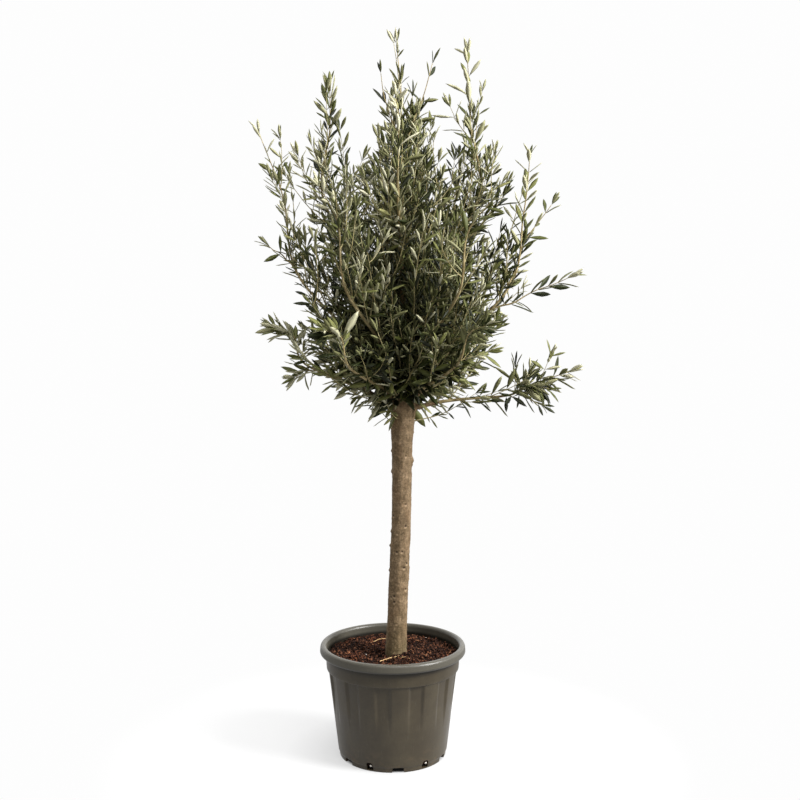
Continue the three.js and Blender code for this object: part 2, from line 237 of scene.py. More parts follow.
# %% The mottle group
mottle = bpy.data.node_groups.new("mottle", "ShaderNodeTree")
mottle_inputs = (
    ("Patch", "NodeSocketFloat", 0.01),
    ("Dark", "NodeSocketColor", (0.05, 0.05, 0.05, 1)),
    ("Middle", "NodeSocketColor", (0.1, 0.1, 0.1, 1)),
    ("Light", "NodeSocketColor", (0.2, 0.2, 0.2, 1)),
)
for label, kind, value in mottle_inputs:
    mottle.interface.new_socket(label, in_out="INPUT", socket_type=kind).default_value = value
mottle.interface.new_socket("Color", in_out="OUTPUT", socket_type="NodeSocketColor")
mottle.interface.new_socket("Mask", in_out="OUTPUT", socket_type="NodeSocketFloat")
mottle_in = mottle.nodes.new("NodeGroupInput")
mottle_out = mottle.nodes.new("NodeGroupOutput")
mottle_scale = sums(mottle, "DIVIDE", 1.0, mottle_in.outputs["Patch"])
mottle_cloud = noise_at(mottle, object_place(mottle), detail=4, scale=mottle_scale)
mottle_low = reach(mottle, mottle_cloud, 0.32, 0.5)
mottle_high = reach(mottle, mottle_cloud, 0.5, 0.68)
mottle_first = blend(mottle, mottle_low, mottle_in.outputs["Dark"], mottle_in.outputs["Middle"])
mottle_both = blend(mottle, mottle_high, mottle_first, mottle_in.outputs["Light"])
mottle.links.new(mottle_both, mottle_out.inputs["Color"])
mottle.links.new(mottle_cloud, mottle_out.inputs["Mask"])


def mottled(tree, patch, dark, middle, light):
    """The mottle group's node, set to a patch size in metres and to three paints."""
    inputs = {"Patch": patch, "Dark": srgb(*dark), "Middle": srgb(*middle), "Light": srgb(*light)}
    return add_node(tree, "Group", inputs, node_tree=mottle)


# %% The fine relief group
fine_relief = bpy.data.node_groups.new("fine_relief", "ShaderNodeTree")
for label, value in (("Coarse", 0.008), ("Fine", 0.0015), ("Fine Share", 0.4)):
    socket = fine_relief.interface.new_socket(label, in_out="INPUT", socket_type="NodeSocketFloat")
    socket.default_value = value
fine_relief.interface.new_socket("Height", in_out="OUTPUT", socket_type="NodeSocketFloat")
relief_in = fine_relief.nodes.new("NodeGroupInput")
relief_out = fine_relief.nodes.new("NodeGroupOutput")
relief_clouds = []
for label in ("Coarse", "Fine"):
    relief_scale = sums(fine_relief, "DIVIDE", 1.0, relief_in.outputs[label])
    relief_clouds.append(noise_at(fine_relief, object_place(fine_relief), scale=relief_scale))
relief_fine = sums(fine_relief, "MULTIPLY", relief_clouds[1], relief_in.outputs["Fine Share"])
relief_sum = sums(fine_relief, "ADD", relief_clouds[0], relief_fine)
fine_relief.links.new(relief_sum, relief_out.inputs["Height"])


def relief(tree, coarse, fine, fine_share):
    """The height that the group gives, from the sizes of its lumps and of its grain in metres."""
    inputs = {"Coarse": coarse, "Fine": fine, "Fine Share": fine_share}
    return add_node(tree, "Group", inputs, node_tree=fine_relief).outputs["Height"]


def bump_into(tree, shader, height, depth, strength=1.0):
    bump = add_node(tree, "Bump", {"Strength": strength, "Distance": depth, "Height": height})
    tree.links.new(bump.outputs["Normal"], shader.inputs["Normal"])


print("groups of", len(mottle.nodes), "and", len(fine_relief.nodes), "nodes")


# %% A mottled finish
def painted(piece, name, roughness, gloss, patch, paints, sizes, depth, strength=1.0):
    """Gives a piece a mottled finish with fine relief, and hands on what it takes to add to it."""
    material, tree, shader = new_material(name, roughness, gloss)
    mottling = mottled(tree, patch, *paints)
    tree.links.new(mottling.outputs["Color"], shader.inputs["Base Color"])
    bump_into(tree, shader, relief(tree, *sizes), depth, strength)
    piece.data.materials.clear()
    piece.data.materials.append(material)
    return tree, shader, mottling


# %% [markdown]
# ## The view
# The tree is seen from three metres away, a little above its middle, with a normal lens that looks down by
# five degrees. The camera stands in front of the pot, on the -Y side.

# %% Camera
VIEW_FROM = Vector((0.02, -2.99, 1.24))
VIEW_DOWN_DEG = 5
LENS_MM = 50

camera = bpy.data.objects.new("camera", bpy.data.cameras.new("camera"))
camera.data.lens = LENS_MM
camera.location = VIEW_FROM
camera.rotation_euler = (math.radians(90 - VIEW_DOWN_DEG), 0, 0)
bpy.context.scene.collection.objects.link(camera)
bpy.context.scene.camera = camera
bpy.context.scene.view_settings.view_transform = "Standard"
print("camera", VIEW_FROM.length, "m from the pot's foot")

# %% [markdown]
# ## Light and floor
# A plant on a white ground is lit by two soft lamps: a key lamp high on the right, and a wide one overhead.
# The room is bright behind the plant and dark where the camera stands, and the camera sees it as plain white.
# The floor glows as well as being lit, so that it goes to white too, and only the soft shadow of the pot
# shows on it. Round the pot's foot its glow is dimmed in a ring, a painted shadow that deepens the pot's real
# one, and under the pot it doesn't glow at all. Further out it glows by itself, so that it has no far edge.

# %% Soft studio light
KEY_FROM = Vector((5.05, -2.15, 4.0))
KEY_SIZE = 2.7
KEY_WATTS = 690
TOP_FROM = Vector((0.5, -2.7, 6.2))
TOP_SIZE = 4.5
TOP_WATTS = 240
ROOM_DARK = 0.34
ROOM_BRIGHT = 1.5
ROOM_SEEN = 0.985
ROOM_TURN = (-0.35, 0.75)
ROOM_BRIGHT_SIDE = Vector((0.3, 0.9, 0.32))


def aim(lamp, place):
    lamp.rotation_euler = (place - lamp.location).to_track_quat("-Z", "Y").to_euler()


def soft_lamp(name, place, target, size, watts):
    lamp = bpy.data.objects.new(name, bpy.data.lights.new(name, "AREA"))
    lamp.data.shape = "DISK"
    lamp.data.size = size
    lamp.data.energy = watts
    lamp.location = place
    aim(lamp, target)
    bpy.context.scene.collection.objects.link(lamp)
    return lamp


soft_lamp("key", KEY_FROM, Vector((0, 0, 0.9)), KEY_SIZE, KEY_WATTS)
soft_lamp("top", TOP_FROM, Vector((0, 0, 1.2)), TOP_SIZE, TOP_WATTS)

room = bpy.data.worlds.new("room")
bpy.context.scene.world = room
room.use_nodes = True
tree = room.node_tree
tree.nodes.clear()
way = add_node(tree, "TexCoord", {}).outputs["Generated"]
inputs = {0: way, 1: ROOM_BRIGHT_SIDE.normalized()}
facing = add_node(tree, "VectorMath", inputs, operation="DOT_PRODUCT").outputs["Value"]
room_light = reach(tree, facing, *ROOM_TURN, ROOM_DARK, ROOM_BRIGHT, "SMOOTHSTEP")
is_seen = add_node(tree, "LightPath", {}).outputs["Is Camera Ray"]
room_level = blend(tree, is_seen, room_light, ROOM_SEEN, kind="FLOAT")
room_glow = add_node(tree, "Background", {"Color": (1, 1, 1, 1), "Strength": room_level})
add_node(tree, "OutputWorld", {"Surface": room_glow.outputs["Background"]})
print("two lamps and a room that is", round(ROOM_BRIGHT / ROOM_DARK, 1), "times as bright on one side")

# %% Floor
# Places on the floor are metres from the middle of the pot's foot.
FLOOR_RADIUS = 12
FLOOR_NEAR = 0.35
FLOOR_FAR = 0.85
FLOOR_GLOW = 0.58
FLOOR_SHADE = 0.3
FLOOR_LIGHTS = 0.58
UNDER_POT = (0.135, 0.147)
# A painted shadow: the floor's glow is dimmed round the pot's foot, most inside the ring, not at all past it.
PAINTED_SHADOW_RING = (0.18, 0.3)
GLOW_IN_PAINTED_SHADOW = 0.86


def grey(level):
    return (level, level, level, 1)


bpy.ops.object.select_all(action="DESELECT")
bpy.ops.mesh.primitive_circle_add(vertices=96, radius=FLOOR_RADIUS, fill_type="NGON")
floor = bpy.context.active_object
floor.name = "floor"
floor_paint, tree, shader = new_material("floor_white", 0.9, 0.0)
from_foot = add_node(tree, "VectorMath", {0: object_place(tree)}, operation="LENGTH").outputs["Value"]
far_out = reach(tree, from_foot, FLOOR_NEAR, FLOOR_FAR, easing="SMOOTHSTEP")
floor_colour = blend(tree, far_out, grey(FLOOR_SHADE), grey(0))
floor_glow = blend(tree, far_out, grey(FLOOR_GLOW), grey(ROOM_SEEN))
clear_of_pot = reach(tree, from_foot, *UNDER_POT)
# Painted shadow round the pot's foot: the glow is turned down in this ring.
painted_contact_shadow = reach(tree, from_foot, *PAINTED_SHADOW_RING, GLOW_IN_PAINTED_SHADOW)
is_seen = add_node(tree, "LightPath", {}).outputs["Is Camera Ray"]
seen_level = reach(tree, is_seen, 0, 1, FLOOR_LIGHTS)
strength = sums(tree, "MULTIPLY", sums(tree, "MULTIPLY", clear_of_pot, painted_contact_shadow), seen_level)
tree.links.new(floor_colour, shader.inputs["Base Color"])
tree.links.new(floor_glow, shader.inputs["Emission Color"])
tree.links.new(strength, shader.inputs["Emission Strength"])
floor.data.materials.append(floor_paint)
print("floor", 2 * FLOOR_RADIUS, "m across")

# %% [markdown]
# ## The pot
# A nursery pot is injection moulded: a thin tapered wall, a plain collar that stands out over twelve shallow
# flutes, and a rolled rim. Round its foot, notches and holes let water out. A lathe makes such a shape best.
# One outline, drawn as corners with a rounding on each, is extruded point by point and then spun. The spin
# has as many steps as a flute has clean edges, so that the flutes can be pressed in afterwards.

# %% Pot outline
_, pot_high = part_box("pot")
POT_HEIGHT = pot_high.z
RIM_RADIUS = pot_high.x
FOOT_RADIUS = 0.74 * RIM_RADIUS
COLLAR_HEIGHT = 242.5 * MM
WALL_TOP_RADIUS = 177 * MM
COLLAR_RADIUS = 181.5 * MM
NECK_RADIUS = 184 * MM
RIM_DEPTH = 25 * MM
MOUTH_RADIUS = 182 * MM
WALL = 3 * MM
FLUTES = 12
FLUTE_DEPTH = 5.4 * MM
FLUTE_TOP = COLLAR_HEIGHT - 3 * MM
FLUTE_FULL = 205 * MM
FLUTE_END = 92 * MM
FLUTE_STEP = 6 * MM
FLOOR_TOP = 12 * MM
FLOOR_LIFT = 8 * MM


def wall_radius(height):
    return FOOT_RADIUS + (WALL_TOP_RADIUS - FOOT_RADIUS) * height / COLLAR_HEIGHT


def inner_radius(height):
    climb = min(max((height - FLUTE_END) / (COLLAR_HEIGHT - 12 * MM - FLUTE_END), 0), 1)
    return wall_radius(height) - WALL - (FLUTE_DEPTH + 0.2 * MM) * climb


def rounded_outline(corners, steps=5):
    """Points along straight runs between corners of (radius, height, rounding)."""
    points = []
    for index, (radius, height, rounding) in enumerate(corners):
        here = Vector((radius, height))
        if rounding == 0:
            points.append(here)
            continue
        before = Vector(corners[index - 1][:2]) - here
        after = Vector(corners[index + 1][:2]) - here
        start = here + before.normalized() * rounding
        end = here + after.normalized() * rounding
        for step in range(steps + 1):
            share = step / steps
            points.append((1 - share) ** 2 * start + 2 * share * (1 - share) * here + share**2 * end)
    return points


rim_bottom = POT_HEIGHT - RIM_DEPTH
flute_rows = int((FLUTE_TOP - FLUTE_END) / FLUTE_STEP)
pot_corners = [
    (0, 0, 0),
    (60 * MM, 0, 1 * MM),
    (66 * MM, FLOOR_LIFT, 2 * MM),
    (FOOT_RADIUS - 14 * MM, FLOOR_LIFT, 2 * MM),
    (FOOT_RADIUS - 10 * MM, 0, 1 * MM),
    (FOOT_RADIUS - 2.2 * MM, 0, 1.6 * MM),
    (wall_radius(12 * MM) - 2 * MM, 12 * MM, 1 * MM),
    (wall_radius(16 * MM), 16 * MM, 1.5 * MM),
    (wall_radius(60 * MM), 60 * MM, 0),
]
for row in range(flute_rows + 1):
    flute_height = FLUTE_END + (FLUTE_TOP - FLUTE_END) * row / flute_rows
    pot_corners.append((wall_radius(flute_height), flute_height, 0))
pot_corners += [
    (WALL_TOP_RADIUS, COLLAR_HEIGHT - 1.2 * MM, 0.6 * MM),
    (COLLAR_RADIUS, COLLAR_HEIGHT - 0.6 * MM, 1.4 * MM),
    (COLLAR_RADIUS + 0.8 * MM, COLLAR_HEIGHT + 8 * MM, 0),
    (NECK_RADIUS - 0.6 * MM, rim_bottom - 6 * MM, 3 * MM),
    (NECK_RADIUS, rim_bottom + 6 * MM, 2 * MM),
    (RIM_RADIUS - 5 * MM, rim_bottom + 6 * MM, 2 * MM),
    (RIM_RADIUS - 4.4 * MM, rim_bottom, 1.2 * MM),
    (RIM_RADIUS, rim_bottom + 4.5 * MM, 3 * MM),
    (RIM_RADIUS - 1.4 * MM, POT_HEIGHT - 5 * MM, 3.5 * MM),
    (RIM_RADIUS - 6 * MM, POT_HEIGHT - 0.2 * MM, 3.5 * MM),
    (MOUTH_RADIUS + 4 * MM, POT_HEIGHT, 3.5 * MM),
    (MOUTH_RADIUS - 0.5 * MM, POT_HEIGHT - 6 * MM, 3 * MM),
    (MOUTH_RADIUS - 2 * MM, COLLAR_HEIGHT + 20 * MM, 4 * MM),
    (inner_radius(COLLAR_HEIGHT - 12 * MM), COLLAR_HEIGHT - 12 * MM, 0),
    (inner_radius(FLUTE_END), FLUTE_END, 0),
    (inner_radius(FLOOR_TOP), FLOOR_TOP, 3 * MM),
    (0, FLOOR_TOP, 0),
]
pot_outline = rounded_outline(pot_corners)
print("pot outline has", len(pot_outline), "points")


# %% Spinning an outline
def spun(name, outline, steps, start_deg=0.0):
    """Extrudes an outline of (radius, height) point by point, and spins it into a closed shell."""
    bpy.ops.object.select_all(action="DESELECT")
    bpy.ops.mesh.primitive_plane_add(size=1 * MM, location=(0, 0, 0))
    piece = bpy.context.active_object
    piece.name = name
    turn = math.radians(start_deg)
    out = Vector((math.cos(turn), math.sin(turn), 0))
    bpy.ops.object.mode_set(mode="EDIT")
    bpy.ops.mesh.select_mode(type="VERT")
    bpy.ops.mesh.select_all(action="SELECT")
    bpy.ops.mesh.merge(type="CENTER")
    places = [out * radius + UP * height for radius, height in outline]
    bpy.ops.transform.translate(value=places[0])
    for here, following in zip(places, places[1:]):
        bpy.ops.mesh.extrude_region_move(TRANSFORM_OT_translate={"value": following - here})
    bpy.ops.mesh.select_all(action="SELECT")
    bpy.ops.mesh.spin(steps=steps, angle=2 * math.pi, center=(0, 0, 0), axis=(0, 0, 1))
    bpy.ops.mesh.select_all(action="SELECT")
    bpy.ops.mesh.remove_doubles(threshold=0.02 * MM)
    bpy.ops.mesh.select_all(action="SELECT")
    bpy.ops.mesh.normals_make_consistent(inside=False)
    close_edit()
    return piece


SPIN_STEPS = 480
FIRST_FLUTE_DEG = -106.2
FLUTE_PITCH_DEG = 360 / FLUTES
FLUTE_WIDTH_DEG = 15

pot = spun("pot_shell", pot_outline, SPIN_STEPS, FIRST_FLUTE_DEG)
print("pot shell has", len(pot.data.vertices), "corners")

# %% Press the flutes in
def flute_share(place):
    """How far round its pitch a place is, from 0 at the start of a flute to 1 at the next."""
    turn = math.degrees(math.atan2(place.y, place.x)) - FIRST_FLUTE_DEG
    return (turn / FLUTE_PITCH_DEG) % 1


ONE_STEP = 360 / SPIN_STEPS / FLUTE_PITCH_DEG
SLOPE_SHARES = [0.14, 0.36, 0.36, 0.14]


def in_flute(share, inset):
    """Whether a share of the pitch lies in the flute and so many spin steps inside its edges."""
    near = (0.6 + inset) * ONE_STEP
    far = FLUTE_WIDTH_DEG / FLUTE_PITCH_DEG + (0.4 - inset) * ONE_STEP
    return near < share < far


def pick_ring(piece, members, shares, inset):
    """Takes up the corners of one ring that lie inside the flutes by so many steps."""
    shape = bmesh.from_edit_mesh(piece.data)
    shape.verts.ensure_lookup_table()
    for index, share in zip(members, shares):
        shape.verts[index].select_set(in_flute(share, inset))
    bmesh.update_edit_mesh(piece.data)


pot_places = [corner.co.copy() for corner in pot.data.vertices]
open_for_edit(pot)
for row in range(1, flute_rows + 2):
    ring_height = FLUTE_END + (FLUTE_TOP - FLUTE_END) * min(row / flute_rows, 1)
    if row > flute_rows:
        ring_height = COLLAR_HEIGHT - 1.2 * MM
    ring_radius = wall_radius(ring_height)
    climb = min((ring_height - FLUTE_END) / (FLUTE_FULL - FLUTE_END), 1)
    press = FLUTE_DEPTH * climb * climb * (3 - 2 * climb)
    members = [
        index
        for index, p in enumerate(pot_places)
        if abs(p.z - ring_height) < 0.7 * MM and -1.2 * MM < p.xy.length - ring_radius < 0.5 * MM
    ]
    shares = [flute_share(pot_places[index]) for index in members]
    for inset, part in enumerate(SLOPE_SHARES):
        bpy.ops.mesh.select_all(action="DESELECT")
        pick_ring(pot, members, shares, inset)
        size = 1 - press * part / ring_radius
        bpy.ops.transform.resize(value=(size, size, 1), center_override=(0, 0, ring_height))
close_edit()
print(FLUTES, "flutes,", round(FLUTE_DEPTH / MM, 1), "mm deep")

# %% Cut the drains
NOTCH_WIDTH = 34 * MM
NOTCH_HEIGHT = 14 * MM
HOLE_WIDTH = 20 * MM
HOLE_LOW = 3.5 * MM
HOLE_HIGH = 24 * MM
FIRST_NOTCH_DEG = -84


def drain_cutter(turn_deg, width, low, high, top_share, rounding):
    """A block through the wall, narrower at its top, its upper corners rounded by a bevel."""
    bpy.ops.object.select_all(action="DESELECT")
    middle = FOOT_RADIUS - 2 * MM
    bpy.ops.mesh.primitive_cube_add(size=1, location=(middle, 0, (low + high) / 2))
    block = bpy.context.active_object
    block.scale = (30 * MM, width, high - low)
    apply_place(block)
    open_for_edit(block)
    pick_corners(block, lambda p: p.z > (low + high) / 2)
    bpy.ops.transform.resize(value=(1, top_share, 1), center_override=(middle, 0, high))
    close_edit()
    open_for_edit(block, "EDGE")
    shape = bmesh.from_edit_mesh(block.data)
    for edge in shape.edges:
        ends = [corner.co for corner in edge.verts]
        is_long = abs(ends[0].x - ends[1].x) > 20 * MM
        edge.select_set(is_long and min(end.z for end in ends) > (low + high) / 2)
    bmesh.update_edit_mesh(block.data)
    bpy.ops.mesh.bevel(offset=rounding, segments=6, affect="EDGES")
    close_edit()
    block.rotation_euler = (0, 0, math.radians(turn_deg))
    apply_place(block)
    return block


cutters = []
for place in range(FLUTES):
    turn_deg = FIRST_NOTCH_DEG + place * FLUTE_PITCH_DEG
    if place % 2 == 0:
        cutters.append(drain_cutter(turn_deg, NOTCH_WIDTH, -6 * MM, NOTCH_HEIGHT, 0.86, 2.5 * MM))
    else:
        cutters.append(drain_cutter(turn_deg, HOLE_WIDTH, HOLE_LOW, HOLE_HIGH, 0.92, 7 * MM))
cutter = join(cutters, "drain_cutter")
drains = pot.modifiers.new("drains", "BOOLEAN")
drains.operation = "DIFFERENCE"
drains.solver = "EXACT"
drains.object = cutter
apply_modifiers(pot)
bpy.data.objects.remove(cutter)
take_up(pot)
bpy.ops.object.shade_smooth_by_angle(angle=math.radians(40))
print("pot with drains has", len(pot.data.polygons), "faces")

# %% [markdown]
# ### The pot's plastic
# Black recycled plastic dries to a warm grey-brown. It's matt on the wall, a little greyer on the rim where
# hands lift it, and it carries dust, pale scuffs that run up and down, and earth splashes near the foot. The
# colour is mottled in two sizes, the scuffs come from a noise that is stretched upwards, and the splashes
# from a height mask.

# %% Pot plastic
pot_finish = {
    "name": "pot_plastic",
    "roughness": 0.7,
    "gloss": 0.4,
    "patch": 0.05,
    "paints": [(62, 54, 40), (67, 59, 44), (73, 65, 49)],
    "sizes": (0.004, 0.0007, 0.5),
    "depth": 0.12 * MM,
    "strength": 0.6,
}
tree, shader, mottling = painted(pot, **pot_finish)
speckle = mottled(tree, 0.006, (112, 108, 100), (128, 128, 128), (140, 138, 132))
tone = blend(tree, 0.35, mottling.outputs["Color"], speckle.outputs["Color"], "OVERLAY")
height = object_height(tree)
rim_mask = reach(tree, height, rim_bottom - 2 * MM, rim_bottom + 2 * MM)
tone = tinted(tree, tone, rim_mask, 0.7, (80, 78, 70))
# Painted shade: a dark band on the collar just under the rim's lip, where the lip keeps light off.
painted_shade_rise = reach(tree, height, rim_bottom - 17 * MM, rim_bottom - 1 * MM)
painted_shade_end = reach(tree, height, rim_bottom + 7 * MM, rim_bottom)
tone = tinted(tree, tone, sums(tree, "MULTIPLY", painted_shade_rise, painted_shade_end), 0.9, (20, 18, 14))
scuff_noise = noise_at(tree, stretched_place(tree, 0.004, 0.09), detail=5, roughness=0.7)
tone = tinted(tree, tone, reach(tree, scuff_noise, 0.6, 0.78), 0.2, (140, 134, 122))
splash_noise = noise_at(tree, stretched_place(tree, 0.03, 0.02), detail=6, roughness=0.65)
splash_mask = sums(tree, "MULTIPLY", reach(tree, splash_noise, 0.5, 0.72), reach(tree, height, 0.07, 0.0))
tone = tinted(tree, tone, splash_mask, 0.55, (104, 84, 62))
tree.links.new(tone, shader.inputs["Base Color"])
wear = reach(tree, mottling.outputs["Mask"], 0.3, 0.7, 0.3, 0.44)
tree.links.new(wear, shader.inputs["Roughness"])
finish_piece(pot, "nursery_pot", ["pot"])

# %% [markdown]
# ## The potting mix
# Potting mix is composted bark: crumbs from dust up to a centimetre, in reddish browns, with white perlite
# here and there and a little straw. A bed with humps and hollows is spun first. Thousands of crumbs are then
# scattered on it. They are copies of three faceted pebbles, turned and scaled at random from a fixed seed.

# %% Soil bed
_, soil_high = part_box("soil")
SOIL_LEVEL = soil_high.z - 3.5 * MM
SOIL_RADIUS = MOUTH_RADIUS - 3.2 * MM
STEM_FOOT = Vector((9 * MM, -2 * MM))
MOUND_HEIGHT = 5 * MM
MOUND_WIDTH = 0.055
HOLLOW = Vector((-40 * MM, -20 * MM))
HOLLOW_DEPTH = 15 * MM
HOLLOW_WIDTH = 0.026


def soil_height(x, y):
    """The bed's height, with a low mound round the stem, a hollow beside it and humps all over."""
    place = Vector((x, y))
    mound = MOUND_HEIGHT * math.exp(-(((place - STEM_FOOT).length / MOUND_WIDTH) ** 2))
    hollow = HOLLOW_DEPTH * math.exp(-(((place - HOLLOW).length / HOLLOW_WIDTH) ** 2))
    humps = 7 * MM * noise.noise(Vector((x * 24, y * 24, 3.0)))
    lumps = 3.5 * MM * noise.noise(Vector((x * 75, y * 75, 8.0)))
    return SOIL_LEVEL + mound - hollow + humps + lumps


bed_outline = [(0, FLOOR_TOP + 0.6 * MM)]
for share in (0, 0.4, 0.8, 1):
    bed_height = FLOOR_TOP + 0.6 * MM + share * (COLLAR_HEIGHT - 14 * MM - FLOOR_TOP)
    bed_outline.append((inner_radius(bed_height) - 0.8 * MM, bed_height))
bed_outline.append((SOIL_RADIUS - 0.5 * MM, SOIL_LEVEL - 10 * MM))
BED_RINGS = 44
for ring in range(BED_RINGS + 1):
    bed_outline.append((SOIL_RADIUS * (1 - ring / BED_RINGS), SOIL_LEVEL))
bed = spun("soil_bed", bed_outline, 180)
for corner in bed.data.vertices:
    if corner.co.z > SOIL_LEVEL - 1 * MM:
        corner.co.z = soil_height(corner.co.x, corner.co.y)
take_up(bed)
bpy.ops.object.shade_smooth()
print("soil bed has", count_triangles(bed), "triangles")


# %% Pebbles and how they are scattered
def pebble(subdivisions, seed, roughness):
    """A faceted pebble one unit across, as arrays of corners and faces."""
    bpy.ops.object.select_all(action="DESELECT")
    bpy.ops.mesh.primitive_ico_sphere_add(subdivisions=subdivisions, radius=0.5)
    ball = bpy.context.active_object
    open_for_edit(ball)
    bpy.ops.mesh.select_all(action="SELECT")
    bpy.ops.transform.vertex_random(offset=roughness, seed=seed)
    close_edit()
    corners = np.array([corner.co for corner in ball.data.vertices])
    faces = np.array([face.vertices for face in ball.data.polygons])
    bpy.data.objects.remove(ball)
    return corners, faces


def turns(count, rng):
    """Random rotation matrices, one for each copy."""
    quats = rng.normal(size=(count, 4))
    quats /= np.linalg.norm(quats, axis=1)[:, None]
    w, x, y, z = quats.T
    rows = [
        [1 - 2 * (y * y + z * z), 2 * (x * y - z * w), 2 * (x * z + y * w)],
        [2 * (x * y + z * w), 1 - 2 * (x * x + z * z), 2 * (y * z - x * w)],
        [2 * (x * z - y * w), 2 * (y * z + x * w), 1 - 2 * (x * x + y * y)],
    ]
    return np.array(rows).transpose(2, 0, 1)


def copies(shape, places, sizes, spins):
    """Copies of one shape: each scaled by its three sizes, turned by its matrix and set in its place."""
    corners, faces = shape
    count = len(places)
    scaled = corners[None] * sizes[:, None, :]
    turned = np.einsum("nij,nkj->nki", spins, scaled) + places[:, None, :]
    numbered = faces[None] + (np.arange(count) * len(corners))[:, None, None]
    return turned.reshape(-1, 3), numbered.reshape(-1, faces.shape[1])


def scattered(count, rng, clear_of_stem=30 * MM, reach_out=SOIL_RADIUS - 5 * MM):
    """Places spread evenly over the bed, none of them inside the stem."""
    spots = []
    while len(spots) < count:
        radius = reach_out * math.sqrt(rng.random())
        turn = 2 * math.pi * rng.random()
        spot = Vector((radius * math.cos(turn), radius * math.sin(turn)))
        if (spot - STEM_FOOT).length > clear_of_stem:
            spots.append((spot.x, spot.y, soil_height(spot.x, spot.y)))
    return np.array(spots)


def stacked(parts):
    """Several (corners, faces) pairs as one."""
    start = 0
    all_corners = []
    all_faces = []
    for corners, faces in parts:
        all_corners.append(corners)
        all_faces.append(faces + start)
        start += len(corners)
    return np.concatenate(all_corners), np.concatenate(all_faces)


# %% Crumbs of bark
soil_rng = np.random.default_rng(11)
pebbles = [pebble(1, seed, 0.16) for seed in (1, 2, 3)]
CRUMBS_EACH = 1900
crumb_parts = []
for shape in pebbles:
    spots = scattered(CRUMBS_EACH, soil_rng)
    girth = (1.7 + 8.5 * soil_rng.random(CRUMBS_EACH) ** 4) * MM
    sizes = girth[:, None] * soil_rng.uniform(0.7, 1.5, (CRUMBS_EACH, 3))
    spots[:, 2] += girth * soil_rng.uniform(-0.25, 0.45, CRUMBS_EACH)
    crumb_parts.append(copies(shape, spots, sizes, turns(CRUMBS_EACH, soil_rng)))
crumb_corners, crumb_faces = stacked(crumb_parts)
crumbs = mesh_piece("soil_crumbs", crumb_corners, crumb_faces, smooth=False)
print(3 * CRUMBS_EACH, "crumbs")

# %% Perlite and chips
PERLITE = 14
perlite_spots = scattered(PERLITE, soil_rng)
perlite_girth = soil_rng.uniform(1.6, 4.2, PERLITE) * MM
perlite_spots[:, 2] += 1.2 * MM + 0.3 * perlite_girth
# One grain shows in each drain hole, too.
hole_radius = inner_radius(FLOOR_TOP + 4 * MM) - 0.5 * MM
hole_spots = []
for place in range(1, FLUTES, 2):
    hole_turn = math.radians(FIRST_NOTCH_DEG + place * FLUTE_PITCH_DEG + soil_rng.uniform(-1.5, 1.5))
    hole_spots.append(
        (hole_radius * math.cos(hole_turn), hole_radius * math.sin(hole_turn), FLOOR_TOP + 3 * MM)
    )
perlite_spots = np.concatenate([perlite_spots, hole_spots])
perlite_girth = np.concatenate([perlite_girth, np.full(len(hole_spots), 6.5 * MM)])
perlite_sizes = perlite_girth[:, None] * soil_rng.uniform(0.8, 1.2, (len(perlite_spots), 3))
perlite_turns = turns(len(perlite_spots), soil_rng)
perlite_arrays = copies(pebble(2, 5, 0.06), perlite_spots, perlite_sizes, perlite_turns)
perlite = mesh_piece("perlite", *perlite_arrays)

CHIPS = 120
CHIP_TIP = 0.35
chip_spots = scattered(CHIPS, soil_rng)
chip_spots[:, 2] += 2 * MM
chip_length = soil_rng.uniform(5, 15, CHIPS) * MM
chip_sizes = np.stack([chip_length, chip_length * 0.4, np.full(CHIPS, 1.8 * MM)], axis=1)
chip_spins = []
for _ in range(CHIPS):
    flat_turn = Matrix.Rotation(soil_rng.uniform(0, 2 * math.pi), 3, "Z")
    tip_x = Matrix.Rotation(soil_rng.normal(0, CHIP_TIP), 3, "X")
    tip_y = Matrix.Rotation(soil_rng.normal(0, CHIP_TIP), 3, "Y")
    chip_spins.append(np.array(flat_turn @ (tip_x @ tip_y)))
chip_arrays = copies(pebble(1, 9, 0.2), chip_spots, chip_sizes, np.array(chip_spins))
chips = mesh_piece("wood_chips", *chip_arrays, smooth=False)
print(len(perlite_spots), "perlite grains and", CHIPS, "chips")


# %% [markdown]
# Straw, twigs and boughs are all tubes along a path. A curve with a round bevel is the quickest way to draw
# them: each point has its own radius, so one curve object can hold a whole bundle that tapers. It is then
# converted to a mesh.


# %% Tubes along paths
def tubes(name, runs, extra_sides):
    """One mesh of closed tubes. Each run is a list of points and a list of as many radii."""
    curve = bpy.data.curves.new(name, "CURVE")
    curve.dimensions = "3D"
    curve.bevel_depth = 1.0
    curve.bevel_resolution = extra_sides
    curve.use_fill_caps = True
    for points, radii in runs:
        spline = curve.splines.new("POLY")
        spline.points.add(len(points) - 1)
        spline.points.foreach_set("co", [value for point in points for value in (*point, 1.0)])
        spline.points.foreach_set("radius", radii)
    bundle = bpy.data.objects.new(name, curve)
    bpy.context.scene.collection.objects.link(bundle)
    take_up(bundle)
    bpy.ops.object.convert(target="MESH")
    bundle = bpy.context.view_layer.objects.active
    bpy.ops.object.shade_smooth()
    return bundle


def smooth_path(stops, steps):
    """Points on a smooth curve through the stops, `steps` to each stretch between two."""
    line = [stops[0] * 2 - stops[1], *stops, stops[-1] * 2 - stops[-2]]
    points = []
    for before, start, end, after in zip(line, line[1:], line[2:], line[3:]):
        for step in range(steps):
            t = step / steps
            points.append(
                0.5
                * (
                    2 * start
                    + (end - before) * t
                    + (2 * before - 5 * start + 4 * end - after) * t**2
                    + (3 * start - 3 * end + after - before) * t**3
                )
            )
    return [*points, stops[-1].copy()]


# %% Straw
def on_soil(x, y, lift):
    return Vector((x, y, soil_height(x, y) + lift))


